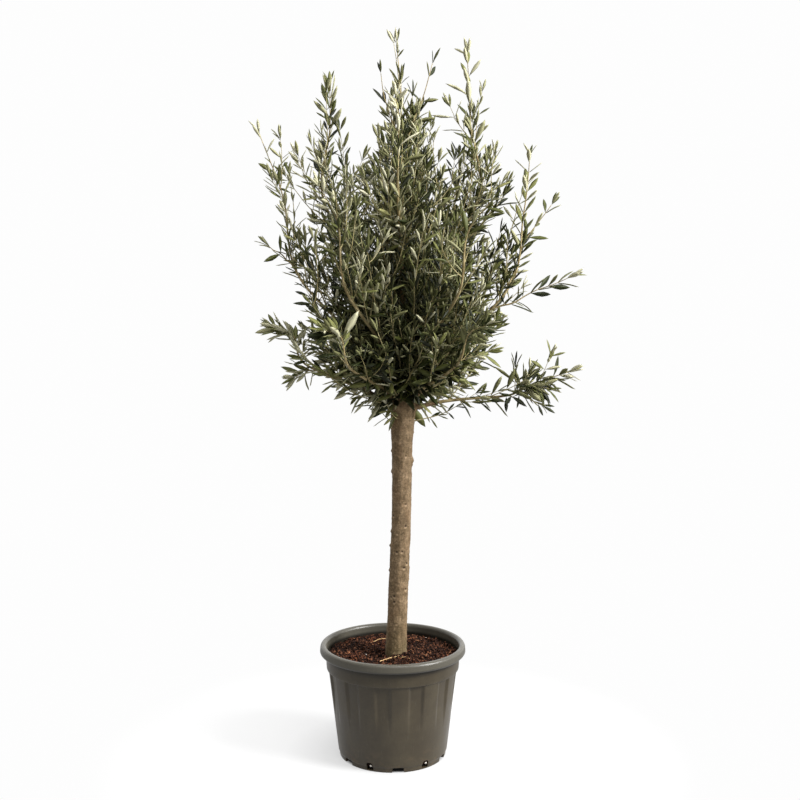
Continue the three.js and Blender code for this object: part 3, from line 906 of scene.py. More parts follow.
straw_ends = [
    ((-34, -84), (20, -58), 1.25),
    ((24, -66), (46, -70), 0.7),
    ((-60, 90), (-15, 112), 1.0),
]
straw_runs = []
for (x0, y0), (x1, y1), radius in straw_ends:
    bow = 5 * radius
    stops = [
        on_soil(x0 * MM, y0 * MM, 3 * MM),
        on_soil((x0 + x1) / 2 * MM, ((y0 + y1) / 2 + bow) * MM, 5 * MM),
        on_soil(x1 * MM, y1 * MM, 3.5 * MM),
    ]
    straw_points = smooth_path(stops, 6)
    straw_runs.append((straw_points, [radius * MM] * len(straw_points)))
straw = tubes("straw", straw_runs, 1)
print(len(straw_runs), "straws")

# %% Soil materials
BED_PAINTS = [(12, 7, 5), (26, 15, 10), (52, 31, 21)]
CRUMB_PAINTS = [(20, 10, 6), (58, 33, 23), (148, 98, 70)]
CHIP_PAINTS = [(70, 40, 27), (108, 70, 47), (158, 114, 78)]
PERLITE_PAINTS = [(176, 168, 155), (214, 208, 198), (236, 232, 224)]
STRAW_PAINTS = [(150, 112, 70), (186, 150, 100), (214, 184, 134)]
PATCH_PAINTS = [(84, 76, 72), (128, 126, 124), (166, 148, 134)]

# Each row: the piece, its name, the material, its roughness and gloss, the size of its patches, its paints,
# the sizes of its relief's lumps and grain, and the relief's depth.
soil_finishes = [
    (bed, "soil_bed", "soil_dark", 0.95, 0.1, 0.012, BED_PAINTS, 0.004, 0.0012, 2.0 * MM),
    (crumbs, "soil_crumbs", "soil_crumb", 0.9, 0.15, 0.006, CRUMB_PAINTS, 0.002, 0.0007, 0.5 * MM),
    (chips, "wood_chips", "chip_wood", 0.85, 0.2, 0.006, CHIP_PAINTS, 0.002, 0.0006, 0.4 * MM),
    (perlite, "perlite", "perlite_white", 0.8, 0.5, 0.002, PERLITE_PAINTS, 0.001, 0.0004, 0.3 * MM),
    (straw, "straw", "straw", 0.7, 0.5, 0.004, STRAW_PAINTS, 0.002, 0.0005, 0.2 * MM),
]
for piece, name, material, roughness, gloss, patch, paints, lumps, grain, depth in soil_finishes:
    sizes = (lumps, grain, 0.6)
    tree, shader, mottling = painted(piece, material, roughness, gloss, patch, paints, sizes, depth)
    if piece is crumbs:
        patches = mottled(tree, 0.07, *PATCH_PAINTS)
        tone = blend(tree, 0.8, mottling.outputs["Color"], patches.outputs["Color"], "OVERLAY")
        tree.links.new(tone, shader.inputs["Base Color"])
    finish_piece(piece, name, ["soil"])

# %% [markdown]
# ## Stem and boughs
# The stem is a pole nearly as thick at its head as at its foot, with a slight lean, stubs where side shoots
# were pruned off, and a swelling where the boughs leave. Its stations are read from the frame. A disc is
# extruded from one to the next, and the boughs are tubes sunk into its head. A voxel remesh melts them into
# one skin without a seam, which then gets its relief: long shallow ridges, small knobs and a rough grain.


# %% Read the stem and boughs
def own_points(node):
    """The corners of one of the frame's meshes, each once."""
    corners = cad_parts[node].data.vertices
    points = {tuple(round(value, 5) for value in corner.co) for corner in corners}
    return [Vector(point) for point in sorted(points)]


def level_rings(node, least=10):
    """The centre and radius of each level ring of corners in a node, from the lowest."""
    levels = {}
    for point in own_points(node):
        levels.setdefault(round(point.z, 4), []).append(point)
    rings = []
    for _, members in sorted(levels.items()):
        if len(members) >= least:
            centre = sum(members, Vector()) / len(members)
            radius = sum((point - centre).length for point in members) / len(members)
            rings.append((centre, radius))
    return rings


stem_rings = level_rings("trunk")
STEM_HEAD = stem_rings[-3][0]
bough_nodes = sorted(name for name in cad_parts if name.startswith("bough_"))
body_nodes = sorted(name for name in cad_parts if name.startswith("foliage_"))
shoot_nodes = sorted(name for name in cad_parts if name.startswith("shoot_"))
print(len(stem_rings), "stem rings, head at", [round(v, 3) for v in STEM_HEAD])
print(len(bough_nodes), "boughs,", len(body_nodes), "bodies,", len(shoot_nodes), "shoots")


def bough_path(node, parts=4):
    """The middle line of a bough, from inside the stem's head to its tip."""
    points = sorted(own_points(node), key=lambda point: (point - STEM_HEAD).length)
    groups = np.array_split(np.array(points), parts)
    middles = [Vector(group.mean(axis=0)) for group in groups]
    inside = STEM_HEAD.lerp(middles[0], 0.2)
    inside.z = max(inside.z, middles[0].z - 40 * MM)
    return [inside, *middles]


bough_paths = {node.removeprefix("bough_"): bough_path(node) for node in bough_nodes}

# %% Draw the stem
STEM_SIDES = 32
foot, foot_radius = stem_rings[0]
bpy.ops.object.select_all(action="DESELECT")
bpy.ops.mesh.primitive_circle_add(vertices=STEM_SIDES, radius=foot_radius, location=foot, fill_type="NGON")
stem = bpy.context.active_object
apply_place(stem)
bpy.ops.object.mode_set(mode="EDIT")
bpy.ops.mesh.select_all(action="SELECT")
for (here, radius), (following, next_radius) in zip(stem_rings, stem_rings[1:]):
    bpy.ops.mesh.extrude_region_move(TRANSFORM_OT_translate={"value": following - here})
    size = next_radius / radius
    bpy.ops.transform.resize(value=(size, size, 1), center_override=following)
bpy.ops.mesh.select_all(action="SELECT")
bpy.ops.mesh.normals_make_consistent(inside=False)
close_edit()
rounding = stem.modifiers.new("rounding", "SUBSURF")
rounding.levels = 2
rounding.render_levels = 2
apply_modifiers(stem)
print("stem has", len(stem.data.polygons), "faces")

# %% Draw the boughs and pruning stubs
BOUGH_ROOT_RADIUS = 10.5 * MM
BOUGH_TIP_RADIUS = 5 * MM
bough_runs = []
for name, path in bough_paths.items():
    line = smooth_path(path, 4)
    count = len(line)
    root = BOUGH_ROOT_RADIUS if name[0] in "sw" else 0.75 * BOUGH_ROOT_RADIUS
    radii = [root + (BOUGH_TIP_RADIUS - root) * index / (count - 1) for index in range(count)]
    bough_runs.append((line, radii))
boughs = tubes("boughs", bough_runs, 4)

# Each stub: its height, its turn round the stem, how far it stands out, and its radius.
stubs = [
    (322, 150, 2.5, 5),
    (392, -20, 1.5, 5),
    (478, 8, 3.0, 5),
    (503, 176, 3.5, 5),
    (511, -6, 3.0, 5),
    (541, -75, 2.0, 5),
    (570, 172, 5.0, 4),
    (611, 178, 3.5, 5),
    (655, -110, 2.0, 6),
    (704, -70, 2.0, 6),
    (774, 176, 5.0, 5),
    (796, 2, 4.0, 8),
    (807, 4, 6.5, 9),
    (831, 172, 4.5, 5),
    (880, 10, 5.5, 4),
    (430, 80, 4.0, 7),
    (600, 110, 4.5, 6),
    (740, 70, 4.0, 7),
]


def stem_at(height):
    """The stem's centre and radius at a height, between two of its rings."""
    for (low, radius), (high, next_radius) in zip(stem_rings, stem_rings[1:]):
        if height <= high.z:
            share = (height - low.z) / (high.z - low.z)
            return low.lerp(high, share), radius + (next_radius - radius) * share
    return stem_rings[-1]


stub_runs = []
for height_mm, turn_deg, stand_out, stub_radius in stubs:
    centre, radius = stem_at(height_mm * MM)
    turn = math.radians(turn_deg)
    out = Vector((math.cos(turn), math.sin(turn), 0.35)).normalized()
    start = centre + out * (radius * 0.6)
    end = centre + out * (radius + stand_out * MM)
    line = [start, start.lerp(end, 0.6), end]
    stub_runs.append((line, [1.9 * stub_radius * MM, 1.25 * stub_radius * MM, 0.72 * stub_radius * MM]))
stub_tubes = tubes("stubs", stub_runs, 3)
print(len(bough_runs), "boughs and", len(stub_runs), "stubs")

# %% Melt them into one skin
SKIN_VOXEL = 2.2 * MM
skin = join([stem, boughs, stub_tubes], "bark_skin")
melt = skin.modifiers.new("melt", "REMESH")
melt.mode = "VOXEL"
melt.voxel_size = SKIN_VOXEL
ease = skin.modifiers.new("ease", "SMOOTH")
ease.factor = 0.5
ease.iterations = 5
apply_modifiers(skin)
print("bark skin has", count_triangles(skin), "triangles")


# %% Give it relief
def bark_height(place, girth):
    """How far the bark stands out at a place: ridges along the wood, knobs, and a grain."""
    ridge = noise.noise(Vector((place.x * 95, place.y * 95, place.z * 17)))
    knob = noise.noise(Vector((place.x * 160, place.y * 160, place.z * 105)) + Vector((7, 3, 1)))
    grain = noise.noise(Vector((place.x * 420, place.y * 420, place.z * 260)) + Vector((2, 9, 4)))
    swell = noise.noise(Vector((place.x * 22, place.y * 22, place.z * 14)) + Vector((5, 1, 8)))
    return girth * (1.1 * ridge + 0.8 * knob + 0.35 * grain + 1.0 * swell) * MM


def girth_share(place):
    """1 on the stem, less on the boughs, which are smoother."""
    centre, radius = stem_at(min(place.z, stem_rings[-1][0].z))
    away = (place.xy - centre.xy).length
    if place.z < STEM_HEAD.z and away < radius + 14 * MM:
        return 1.0
    return 0.35


corner_normals = [corner.normal.copy() for corner in skin.data.vertices]
for corner, normal in zip(skin.data.vertices, corner_normals):
    corner.co += normal * bark_height(corner.co, girth_share(corner.co))
take_up(skin)
bpy.ops.object.shade_smooth()
skin_low = min(corner.co.z for corner in skin.data.vertices)
print("bark skin from", round(skin_low, 3), "m up")

# %% [markdown]
# ### Bark
# Young olive bark is grey-brown over a redder layer, with pale corky dots, dark pits and long faint streaks.
# It's greener near the soil, where it stays damp, and warmer on the boughs. Streaks and dots come from noises
# stretched along the wood, and the two ends are tinted by height.

# %% Bark material
# Each layer: its patches' width and height, the noise's detail and roughness, the noise at which the layer
# starts and is full, its strength and its paint.
bark_layers = {
    "streaks": (0.004, 0.03, 6, 0.7, 0.5, 0.74, 0.45, (144, 121, 95)),
    "red patches": (0.03, 0.06, 4, 0.5, 0.5, 0.7, 0.3, (112, 82, 57)),
    "shade": (0.02, 0.03, 5, 0.6, 0.52, 0.66, 0.4, (78, 63, 44)),
    "rings": (0.06, 0.005, 5, 0.6, 0.57, 0.68, 0.4, (158, 134, 106)),
    "pits": (0.005, 0.006, 4, 0.6, 0.66, 0.74, 0.6, (52, 40, 28)),
}
bark, tree, shader = new_material("bark", 0.85, 0.2)
tone = mottled(tree, 0.02, (96, 80, 58), (112, 94, 71), (129, 110, 86)).outputs["Color"]
bark_noise = {}
bark_mask = {}
for layer, (wide, high, detail, roughness, start, end, strength, paint) in bark_layers.items():
    bark_noise[layer] = noise_at(tree, stretched_place(tree, wide, high), detail, roughness)
    bark_mask[layer] = reach(tree, bark_noise[layer], start, end)
    tone = tinted(tree, tone, bark_mask[layer], strength, paint)
bark_speckle = mottled(tree, 0.0045, (140, 138, 134), (187, 186, 184), (222, 220, 216))
tone = blend(tree, 0.75, tone, bark_speckle.outputs["Color"], "OVERLAY")


def spots_at(tree, place, start, end):
    """Scattered round spots: 1 in the middle of each, 0 outside them."""
    spots = add_node(tree, "TexVoronoi", {"Vector": place, "Scale": 1.0})
    return reach(tree, spots.outputs["Distance"], end, start)


# Pale corky dots, and dark eyes: their dark is partly their own colour and partly painted shade in the hollow
# that the bump presses in, and the pale lip under each is a painted highlight, as if lit from above.
dot_mask = spots_at(tree, stretched_place(tree, 0.009, 0.006), 0.1, 0.2)
tone = tinted(tree, tone, dot_mask, 0.4, (164, 142, 114))
eye_place = stretched_place(tree, 0.026, 0.024)
painted_highlight_place = add_node(tree, "VectorMath", {0: eye_place, 1: (0, 0, 0.17)}).outputs["Vector"]
tone = tinted(tree, tone, spots_at(tree, painted_highlight_place, 0.12, 0.2), 0.6, (172, 148, 118))
eye_mask = spots_at(tree, eye_place, 0.09, 0.16)
tone = tinted(tree, tone, eye_mask, 0.85, (38, 26, 18))
height = object_height(tree)
tone = tinted(tree, tone, reach(tree, height, 0.40, 0.28), 0.35, (84, 80, 50))
tone = tinted(tree, tone, reach(tree, height, 0.93, 1.02), 0.45, (118, 96, 64))
tree.links.new(tone, shader.inputs["Base Color"])
rough = reach(tree, bark_noise["streaks"], 0.3, 0.7, 0.9, 0.7)
tree.links.new(rough, shader.inputs["Roughness"])
bark_relief = relief(tree, 0.006, 0.0016, 0.4)
dark_pits = sums(tree, "ADD", sums(tree, "MULTIPLY", bark_mask["pits"], 0.4), eye_mask)
bump_into(tree, shader, sums(tree, "SUBTRACT", bark_relief, dark_pits), 1.1 * MM, 0.9)
skin.data.materials.clear()
skin.data.materials.append(bark)
finish_piece(skin, "stem_and_boughs", ["trunk", *bough_nodes])

# %% [markdown]
# ## How the crown grows
# An olive's shoots grow up and outwards, side shoots leave them in turn all round, and each keeps bending
# back to the light. The rule here is the same. A leading limb runs on from each bough through its mass of
# foliage to the tip of its shoot. Side shoots leave it at the golden angle, and finer ones leave those. Every
# shoot grows step by step, turning a little towards the light, until it has come out of the foliage solids
# of the frame. So the crown gets the frame's outline and its gaps, and no shoot is placed by hand.
# The masses are first melted into one envelope, a little larger than they are, so that the creases between
# them don't stop a shoot.

# %% Melt the masses into one envelope
GAP_CLOSED = 56 * MM
ENVELOPE_VOXEL = 12 * MM


def copy_of(node):
    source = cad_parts[node]
    copied = bpy.data.objects.new("copy_" + node, source.data.copy())
    bpy.context.scene.collection.objects.link(copied)
    return copied


envelope = join([copy_of(node) for node in body_nodes + shoot_nodes], "envelope")
open_for_edit(envelope)
bpy.ops.mesh.select_all(action="SELECT")
bpy.ops.mesh.remove_doubles(threshold=0.01 * MM)
close_edit()
swell = envelope.modifiers.new("swell", "DISPLACE")
swell.mid_level = 0
swell.strength = GAP_CLOSED
melt = envelope.modifiers.new("melt", "REMESH")
melt.mode = "VOXEL"
melt.voxel_size = ENVELOPE_VOXEL
apply_modifiers(envelope)
crown_tree = BVHTree.FromPolygons(
    [corner.co.copy() for corner in envelope.data.vertices],
    [tuple(face.vertices) for face in envelope.data.polygons],
)
print("envelope has", len(envelope.data.polygons), "faces")
bpy.data.objects.remove(envelope)


def depth_in_foliage(place):
    """Metres inside the melted masses, or less than 0 outside them."""
    nearest, normal, _, distance = crown_tree.find_nearest(place)
    inside = (place - nearest).dot(normal) < 0
    return (distance if inside else -distance) - GAP_CLOSED


crown_low = min(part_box(name)[0].z for name in body_nodes + shoot_nodes)
crown_high = CAD_HIGH.z
CROWN_AXIS = STEM_HEAD.xy.to_3d()


def clamped(value):
    return max(0.0, min(1.0, value))


def crown_share(height):
    """0 at the bottom of the crown, 1 at its top."""
    return (height - crown_low) / (crown_high - crown_low)


def outward(place):
    """A level direction away from the crown's axis, about one unit long."""
    away = (place - CROWN_AXIS).xy
    return (away / max(away.length, 10 * MM)).to_3d()


# %% The leading limbs
def body_middle(node):
    points = own_points(node)
    return sum(points, Vector()) / len(points)


def shoot_tip(node, middle):
    return max(own_points(node), key=lambda point: (point - middle).length)


def along(path, share):
    """The place at a share of a path's points."""
    at = share * (len(path) - 1)
    index = min(int(at), len(path) - 2)
    return path[index].lerp(path[index + 1], at - index)


# Ranks of wood: 0 a limb, 1 a long or filling shoot, 2 a short one, 3 a collar shoot, 4 a sprout.
LIMB_STEPS = 9
TIP_LEAVES = 30 * MM
LIMB_DEPTH = 12 * MM
LIMB_SHIFT = 66 * MM
LIMB_SWAY = 9 * MM
SWAY_SEED = 2
# Without a seed, the noise that bends the limbs would be another one in each run.
noise.seed_set(SWAY_SEED)
limbs = []


def short_of(tip, before):
    """A place short of a tip, so that the leaves at the end of a limb just reach it."""
    return tip + (before - tip).normalized() * TIP_LEAVES


def near_the_surface(place):
    """A place moved outwards until it lies just inside the foliage, or has been moved far enough."""
    moved = place.copy()
    while depth_in_foliage(moved) > LIMB_DEPTH and (moved - place).length < LIMB_SHIFT:
        moved += outward(moved) * 4 * MM
    return moved


def swaying(path, seed):
    """A path with gentle bends, its two ends kept."""
    bent = []
    for index, point in enumerate(path):
        share = index / (len(path) - 1)
        sway = noise.noise_vector(Vector((2.6 * share, 7.3 * seed, 0.5)))
        bent.append(point + sway * LIMB_SWAY * min(1, 4 * share, 3 * (1 - share)))
    return bent


for name, bough in bough_paths.items():
    middle = body_middle("foliage_" + name)
    own_shoots = [node for node in shoot_nodes if node.rsplit("_", 1)[0] == "shoot_" + name]
    own_shoots.sort(key=lambda node: -shoot_tip(node, middle).z)
    main_tip = shoot_tip(own_shoots[0], middle)
    main_middle = body_middle(own_shoots[0])
    if name != "leader":
        middle = near_the_surface(bough[-1].lerp(main_middle, 0.5))
    stops = [bough[-2], bough[-1], middle, main_middle, short_of(main_tip, main_middle)]
    main = swaying(smooth_path(stops, LIMB_STEPS)[LIMB_STEPS:], len(limbs))
    limbs.append({"name": name, "path": main, "root": BOUGH_TIP_RADIUS, "rank": 0})
    for node in own_shoots[1:]:
        tip = shoot_tip(node, middle)
        shoot_middle = body_middle(node)
        back = shoot_middle + (shoot_middle - tip)
        fork = min(main[3 : 2 * LIMB_STEPS], key=lambda point: (point - back).length)
        stops = [fork, fork.lerp(shoot_middle, 0.5), shoot_middle, short_of(tip, shoot_middle)]
        path = swaying(smooth_path(stops, LIMB_STEPS - 2), len(limbs))
        limbs.append({"name": node, "path": path, "root": 0.62 * BOUGH_TIP_RADIUS, "rank": 0})
limb_length = sum((b - a).length for limb in limbs for a, b in zip(limb["path"], limb["path"][1:]))
print(len(limbs), "leading limbs,", round(limb_length, 2), "m long in all")

# %% [markdown]
# ### Limbs kept in sight
# The limbs of this plant show through its leaves, so little may grow in front of them. To find out what would
# hide a limb, the crown is unrolled flat round its axis. Each place is then a way round and a height, and the
# nearest point of a limb is looked up there. Limbs that end low down aren't kept in sight: they are leafy all
# along.

# %% Look up the limbs
# The limbs of these two rings are kept in sight, but not those that end low down.
SHOWN_RINGS = ("waist", "skirt")
LOW_LIMB = 0.3
# Where along its path such a limb is kept in sight, and up to where its shown side stays mostly bare.
SHOWN_SHARES = [index / 40 for index in range(2, 26)]
BARE_UP_TO = 0.6
LIMB_CLEARANCE = 24 * MM
LIMB_GAP = 4 * MM
UNROLLED_RADIUS = 200 * MM


def from_axis(place):
    return (place - CROWN_AXIS).xy.length


def unrolled(place):
    """A place as it lies when the crown is unrolled flat: its way round the axis, and its height."""
    away = place - CROWN_AXIS
    return Vector((UNROLLED_RADIUS * math.atan2(away.x, -away.y), 0, place.z))


shown_points = []
for limb in limbs:
    if limb["name"].startswith(SHOWN_RINGS) and crown_share(limb["path"][-1].z) >= LOW_LIMB:
        shown_points += [along(limb["path"], share) for share in SHOWN_SHARES]
shown_limbs = KDTree(len(shown_points))
for index, point in enumerate(shown_points):
    shown_limbs.insert(unrolled(point), index)
shown_limbs.balance()


def hides_a_limb(place, clearance):
    """Whether a place lies in front of the bare part of a limb, as seen from outside the crown."""
    _, index, distance = shown_limbs.find(unrolled(place))
    return distance < clearance and from_axis(place) > from_axis(shown_points[index]) + LIMB_GAP


print(len(shown_points), "places on the limbs are kept in sight")

# %% [markdown]
# ### Side shoots
# A shoot is a row of places one step apart. At each step it turns a little to the light and wanders a little.
# It ends when it is long enough, when it has come out of the foliage, or where it would hide a limb. How near
# to the outside it may come differs from shoot to shoot, which makes the outline ragged. Near the top the
# margin is wider, so that the spires stay sparse.

# %% Growing a side shoot
GOLDEN_ANGLE = math.radians(137.5)
STEP = 14 * MM
MARGINS = [share * MM for share in (30, 22, 15, 9, 4, -3, -12, -24, -38, -54)]
BOX_MARGIN = 14 * MM
TOP_THINNING = 110 * MM
SPIRE_BARENESS = 330 * MM
GROWTH_FOCUS = STEM_HEAD - UP * 110 * MM
grow_random = random.Random(2024)


def square_to(direction, turn):
    """A unit vector square to a direction, at a turn round it."""
    side = direction.cross(UP if abs(direction.z) < 0.95 else Vector((1, 0, 0))).normalized()
    return Matrix.Rotation(turn, 3, direction) @ side


def in_frame_box(place):
    return all(low + BOX_MARGIN < v < high - BOX_MARGIN for low, v, high in zip(CAD_LOW, place, CAD_HIGH))


def growth_line(place):
    """The way a shoot wants to go: away from a focus in the stem, and up."""
    return ((place - GROWTH_FOCUS).normalized() + UP * 0.22).normalized()


def grow(start, direction, rule):
    """Steps from a start until the shoot is long enough, or comes nearer to the outside than a margin."""
    path = [start.copy()]
    heading = direction.normalized()
    depth = depth_in_foliage(start)
    longest = grow_random.uniform(0.6, 1.0) * rule["longest"]
    own_margin = grow_random.choice(MARGINS)
    travelled = 0.0
    while travelled < longest:
        wander = Vector([grow_random.gauss(0, 0.03) for _ in range(3)])
        heading = (heading + growth_line(path[-1]) * rule["pull"] + wander).normalized()
        place = path[-1] + heading * STEP
        travelled += STEP
        next_depth = depth_in_foliage(place)
        margin = own_margin + max(0.0, crown_share(place.z) - 0.66) * TOP_THINNING
        is_outside = next_depth < margin and next_depth < depth
        if is_outside or not in_frame_box(place) or hides_a_limb(place, LIMB_CLEARANCE):
            break
        depth = next_depth
        path.append(place)
    return path


def path_length(path):
    return sum((b - a).length for a, b in zip(path, path[1:]))


def least_depth(place, edge):
    """How deep a side shoot has to start: in the spires of the top deeper than a rule's own edge."""
    return edge + max(0.0, crown_share(place.z) - 0.72) * SPIRE_BARENESS


def side_shoots(parent, rule):
    """Shoots that leave a parent's path one after the other, each turned on by the golden angle."""
    grown = []
    path = parent["path"]
    total = path_length(path)
    turn = grow_random.uniform(0, 2 * math.pi)
    at = rule["first"] * total
    while at < rule["last"] * total:
        share = at / total
        start = along(path, share)
        heading = (along(path, min(share + 0.04, 1)) - along(path, max(share - 0.04, 0))).normalized()
        angle = math.radians(grow_random.uniform(*rule["angle_deg"]))
        side = square_to(heading, turn)
        direction = heading * math.cos(angle) + side * math.sin(angle)
        is_shown = parent["rank"] == 0 and parent["name"].startswith(SHOWN_RINGS)
        faces_out = is_shown and share < BARE_UP_TO and side.dot(outward(start)) > 0.3
        stays_bare = faces_out and grow_random.random() < rule["kept_bare"]
        unevenness = 1.0 if stays_bare else grow_random.uniform(0.6, 1.4)
        if not stays_bare and depth_in_foliage(start) > least_depth(start, rule["edge"]) * unevenness:
            shoot = grow(start, direction, rule)
            if path_length(shoot) >= rule["shortest"]:
                grown.append({"name": parent["name"], "path": shoot, "rank": rule["rank"]})
        turn += GOLDEN_ANGLE
        at += rule["spacing"] * grow_random.uniform(0.7, 1.3)
    return grown


# %% Grow the crown
# A rule says: the shoot's rank, the stretch of its parent that it leaves and how closely, its angle, its
# greatest and least length, its pull to the light, how deep in the foliage it has to start, and how often a
# limb's shown side stays bare.
LONG_SHOOTS = dict(
    rank=1, first=0.0, last=0.72, spacing=22 * MM, angle_deg=(18, 44),
    longest=480 * MM, shortest=80 * MM, pull=0.10, edge=26 * MM, kept_bare=0.88,
)
SHORT_SHOOTS = dict(
    rank=2, first=0.08, last=0.85, spacing=100 * MM, angle_deg=(26, 50),
    longest=150 * MM, shortest=42 * MM, pull=0.12, edge=46 * MM, kept_bare=0.85,
)
FORK_SHOOTS = dict(
    rank=1, first=0.0, last=1.0, spacing=22 * MM, angle_deg=(25, 65),
    longest=330 * MM, shortest=50 * MM, pull=0.10, edge=-30 * MM, kept_bare=0.0,
)
COLLAR_SHOOTS = dict(
    rank=3, first=0.0, last=1.0, spacing=2.2 * MM, angle_deg=(48, 84),
    longest=190 * MM, shortest=50 * MM, pull=0.05, edge=-300 * MM, kept_bare=0.0,
)
LOW_SHOOTS = dict(
    rank=2, first=0.32, last=0.97, spacing=17 * MM, angle_deg=(30, 66),
    longest=78 * MM, shortest=25 * MM, pull=0.0, edge=-300 * MM, kept_bare=0.0,
)
long_shoots = []
for limb in limbs:
    long_shoots += side_shoots(limb, LONG_SHOOTS)
fork_shoots = []
for name, bough in bough_paths.items():
    fork_shoots += side_shoots({"name": name, "path": smooth_path(bough[1:], 5), "rank": 1}, FORK_SHOOTS)
collar_line = [STEM_HEAD + UP * 8 * MM, STEM_HEAD + UP * 50 * MM, STEM_HEAD + UP * 105 * MM]
collar_shoots = side_shoots({"name": "collar", "path": collar_line, "rank": 1}, COLLAR_SHOOTS)
short_shoots = []
for shoot in limbs + long_shoots + fork_shoots:
    short_shoots += side_shoots(shoot, SHORT_SHOOTS)
for limb in limbs:
    if crown_share(limb["path"][-1].z) < LOW_LIMB:
        short_shoots += side_shoots(limb, LOW_SHOOTS)
print(len(long_shoots), "long and", len(fork_shoots), "fork shoots")
print(len(collar_shoots), "collar and", len(short_shoots), "short shoots")

# %% [markdown]
# ### Sprouts
# A few thin shoots break out of the stem just under its head. They bow down a little before they rise. There
# are so few of them that each is listed one by one.

# %% Sprouts under the stem's head
SPROUT_RANK = 4
# Each sprout at the stem's head: how far below the head it starts, its turn round the stem, its length
# and how much of it is rise.
SPROUTS = [(44, 172, 92, 0.8), (38, -12, 185, 0.42), (14, 96, 120, 0.62), (30, -120, 70, 0.62)]
sprouts = []
for drop_mm, turn_deg, length_mm, rise in SPROUTS:
    centre, radius = stem_at(STEM_HEAD.z - drop_mm * MM)
    turn = math.radians(turn_deg)
    out = Vector((math.cos(turn), math.sin(turn), 0))
    start = centre + out * (radius - 2 * MM)
    end = start + (out * math.sqrt(1 - rise**2) + UP * rise) * length_mm * MM
    path = smooth_path([start, start.lerp(end, 0.5) - UP * 0.08 * length_mm * MM, end], 5)
    sprouts.append({"name": "sprout", "path": path, "rank": SPROUT_RANK})
print(len(sprouts), "sprouts")

# %% [markdown]
# ### Gaps
# Side shoots leave gaps where no limb is near. So places inside the crown are tried at random, and one that
# is still far from all wood gets a shoot. It leaves the nearest wood that lies lower, because shoots grow
# upwards, and it stops by the same rule as the others.

# %% Fill the gaps
FILL_SHOOTS = {"longest": 260 * MM, "shortest": 50 * MM, "pull": 0.12}
GAP_WIDTH = 44 * MM
GAP_DEPTH = 12 * MM
GAP_TRIES = 6000
FAR_AWAY = 1.0
CROWN_LOW_CORNER = (CAD_LOW.x, CAD_LOW.y, crown_low)
fill_shoots = []
taken = np.array([point for shoot in limbs + long_shoots + fork_shoots for point in shoot["path"]])
for _ in range(GAP_TRIES):
    spot = Vector([grow_random.uniform(low, high) for low, high in zip(CROWN_LOW_CORNER, CAD_HIGH)])
    if depth_in_foliage(spot) < least_depth(spot, GAP_DEPTH):
        continue
    away = np.linalg.norm(taken - np.array(spot), axis=1)
    if away.min() < GAP_WIDTH:
        continue
    away[taken[:, 2] > spot.z - 0.5 * GAP_WIDTH] = FAR_AWAY
    start = Vector(taken[away.argmin()])
    path = grow(start, spot - start, FILL_SHOOTS)
    if path_length(path) > FILL_SHOOTS["shortest"]:
        fill_shoots.append({"name": "fill", "path": path, "rank": 1})
        taken = np.concatenate([taken, np.array(path)])
print(len(fill_shoots), "shoots fill gaps")
side_wood = long_shoots + fork_shoots + collar_shoots + short_shoots + sprouts + fill_shoots
shoots = limbs + side_wood
leafy_length = sum(path_length(shoot["path"]) for shoot in shoots)
print(round(leafy_length, 1), "m of wood in the crown")

# %% [markdown]
# ### Wood inside the crown
# The limbs are mottled in pale olive browns with dark flecks. Limbs and side shoots are drawn as two bundles
# of tubes, so each kind can have its own finish. A shoot's radius falls evenly to its tip, as it does on the
# plant.

# %% Limbs and twigs
TIP_RADIUS = 0.9 * MM
TWIG_TIP_RADIUS = 0.7 * MM
THICKEST_TWIG = 2.4 * MM


def taper(path, root, tip):
    """The radius at each point of a path."""
    count = len(path)
    return [root + (tip - root) * (index / (count - 1)) ** 0.65 for index in range(count)]


limb_runs = []
for limb in limbs:
    limb_runs.append((limb["path"], taper(limb["path"], limb["root"], TIP_RADIUS)))
limb_wood = tubes("limb_wood", limb_runs, 2)

twig_runs = []
for shoot in side_wood:
    length = path_length(shoot["path"])
    root = min((1.0 + 5.0 * length) * MM, THICKEST_TWIG)
    twig_runs.append((shoot["path"], taper(shoot["path"], root, TWIG_TIP_RADIUS)))
twig_wood = tubes("twig_wood", twig_runs, 0)

limb_finish = {
    "name": "limb_bark",
    "roughness": 0.8,
    "gloss": 0.25,
    "patch": 0.02,
    "paints": [(118, 102, 68), (152, 136, 96), (180, 164, 124)],
    "sizes": (0.004, 0.001, 0.5),
    "depth": 0.5 * MM,
    "strength": 0.8,
}
tree, shader, mottling = painted(limb_wood, **limb_finish)
fleck_noise = noise_at(tree, stretched_place(tree, 0.003, 0.01))
fleck_mask = reach(tree, fleck_noise, 0.58, 0.7)
tone = tinted(tree, mottling.outputs["Color"], fleck_mask, 0.5, (70, 58, 42))
tree.links.new(tone, shader.inputs["Base Color"])
finish_piece(limb_wood, "limb_wood", shoot_nodes + body_nodes)

twig_paint, tree, shader = new_material("twig_bark", 0.75, 0.25)
twig_tone = mottled(tree, 0.05, (138, 126, 84), (162, 150, 106), (188, 176, 134))
tree.links.new(twig_tone.outputs["Color"], shader.inputs["Base Color"])
twig_wood.data.materials.append(twig_paint)
finish_piece(twig_wood, "twig_wood", shoot_nodes + body_nodes)

# %% [markdown]
# ### One leaf
# An olive leaf is a narrow lance, widest past its middle, folded a little along its midrib and bent back
# towards its tip. It's dark and slightly glossy above and grey-green below. One leaf is modelled one unit
# long: a strip of a few faces is shaped row by row, then a second skin for its underside is added and joined
# to it along the edge, so that the leaf is closed and has its own face on each side.

# %% Model the leaf
LEAF_ROWS = [(0.0, 0.0), (0.09, 0.13), (0.34, 0.72), (0.6, 1.0), (0.84, 0.6), (1.0, 0.0)]
LEAF_FOLD = 0.16
LEAF_THICKNESS = 0.03

